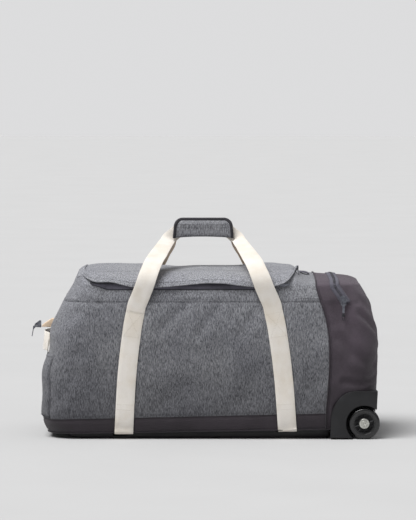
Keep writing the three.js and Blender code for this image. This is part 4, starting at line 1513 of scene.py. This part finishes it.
def add_wheels():
    centre = (WHEEL_X, WHEEL_RADIUS)
    outer, inner = WHEEL_OUTER, WHEEL_OUTER + WHEEL_WIDTH
    cap = [
        (0, outer - 0.6), (2.4, outer - 0.6), (2.9, outer - 0.1), (3.4, outer - 0.6), (6.6, outer - 0.9),
        (7.2, outer - 0.3), (7.9, outer - 0.3), (8.4, outer - 1.1), (11.4, outer - 0.9), (12.5, outer + 0.3),
        (12.7, outer + 1.4), (12.7, outer + 3.6), (0, outer + 3.6),
    ]
    pieces = [
        ("tread", turned(tyre_profile(), centre, 96), TYRE_RUBBER, "tyre", "tyre"),
        ("spoked_core", wheel_spokes(centre, outer + 4, inner - 3), HUB, "plastic", "wheel_core"),
        ("cap", turned(cap, centre, 72), NICKEL, "steel", "hub_cap"),
    ]
    for end in ("front", "back"):
        for piece, (points, faces), material, slot, node in pieces:
            if end == "back":
                points = mirror_y(points)
                faces = flipped(faces)
            obj = crisp(make_mesh(f"{end}_{piece}", points, faces, material), 38)
            attach(obj, f"{end}_wheel", slot, f"{end}_{node}")
        repaint(f"{end}_bearing", NICKEL)


# ---- Studio ----
def add_studio():
    floor = Finish("pale_floor", roughness=0.9, specular=0.1)
    mottle = floor.noise(3, 2)
    floor.colour(floor.ramp(mottle, (0.3, linear(181, 181, 181)), (0.7, linear(183, 183, 183))))
    reach = 30000
    corners = [(-reach, -reach, 0), (reach, -reach, 0), (reach, reach, 0), (-reach, reach, 0)]
    make_mesh("studio_floor", corners, [(0, 1, 2, 3)], floor.material)
    world = bpy.data.worlds.new("studio")
    bpy.context.scene.world = world
    world.use_nodes = True
    nodes, links = world.node_tree.nodes, world.node_tree.links
    direction = nodes.new("ShaderNodeTexCoord").outputs["Generated"]
    split = nodes.new("ShaderNodeSeparateXYZ")
    links.new(direction, split.inputs[0])
    ramp = nodes.new("ShaderNodeValToRGB")
    links.new(split.outputs["Z"], ramp.inputs[0])
    bands = [(0.08, 0.72), (0.16, 0.2), (0.45, 0.32), (0.8, 0.6)]
    set_stops(ramp, [(height, (light, light, light * 1.01, 1)) for height, light in bands])
    links.new(ramp.outputs[0], nodes["Background"].inputs["Color"])
    sun = bpy.data.lights.new("key", "SUN")
    sun.energy = 3.8
    sun.angle = math.radians(38)
    key = bpy.data.objects.new("key", sun)
    key.rotation_euler = Vector((0.42, 0.34, -1)).to_track_quat("-Z", "Y").to_euler()
    bpy.context.scene.collection.objects.link(key)


def add_camera():
    """A long lens almost level with the bag, as such a product shot is taken."""
    data = bpy.data.cameras.new("camera")
    camera = bpy.data.objects.new("camera", data)
    bpy.context.scene.collection.objects.link(camera)
    data.lens = 229.5
    data.clip_end = 200
    rise = math.radians(3.5)
    back = Vector((0, -math.cos(rise), math.sin(rise)))
    camera.location = Vector((0.0092, 0, 0.4148)) + back * 8.0
    camera.rotation_mode = "QUATERNION"
    camera.rotation_quaternion = (-back).to_track_quat("-Z", "Y")
    bpy.context.scene.camera = camera
    bpy.context.scene.view_settings.view_transform = "Standard"


add_camera()
add_studio()
add_panels()
add_seams()
add_straps()
add_handles()
add_wraps()
add_flap()
add_end_flap()
add_main_zip()
add_pocket_zips()
add_zip_hardware()
add_zip_garage()
add_left_end()
add_base()
add_wheels()
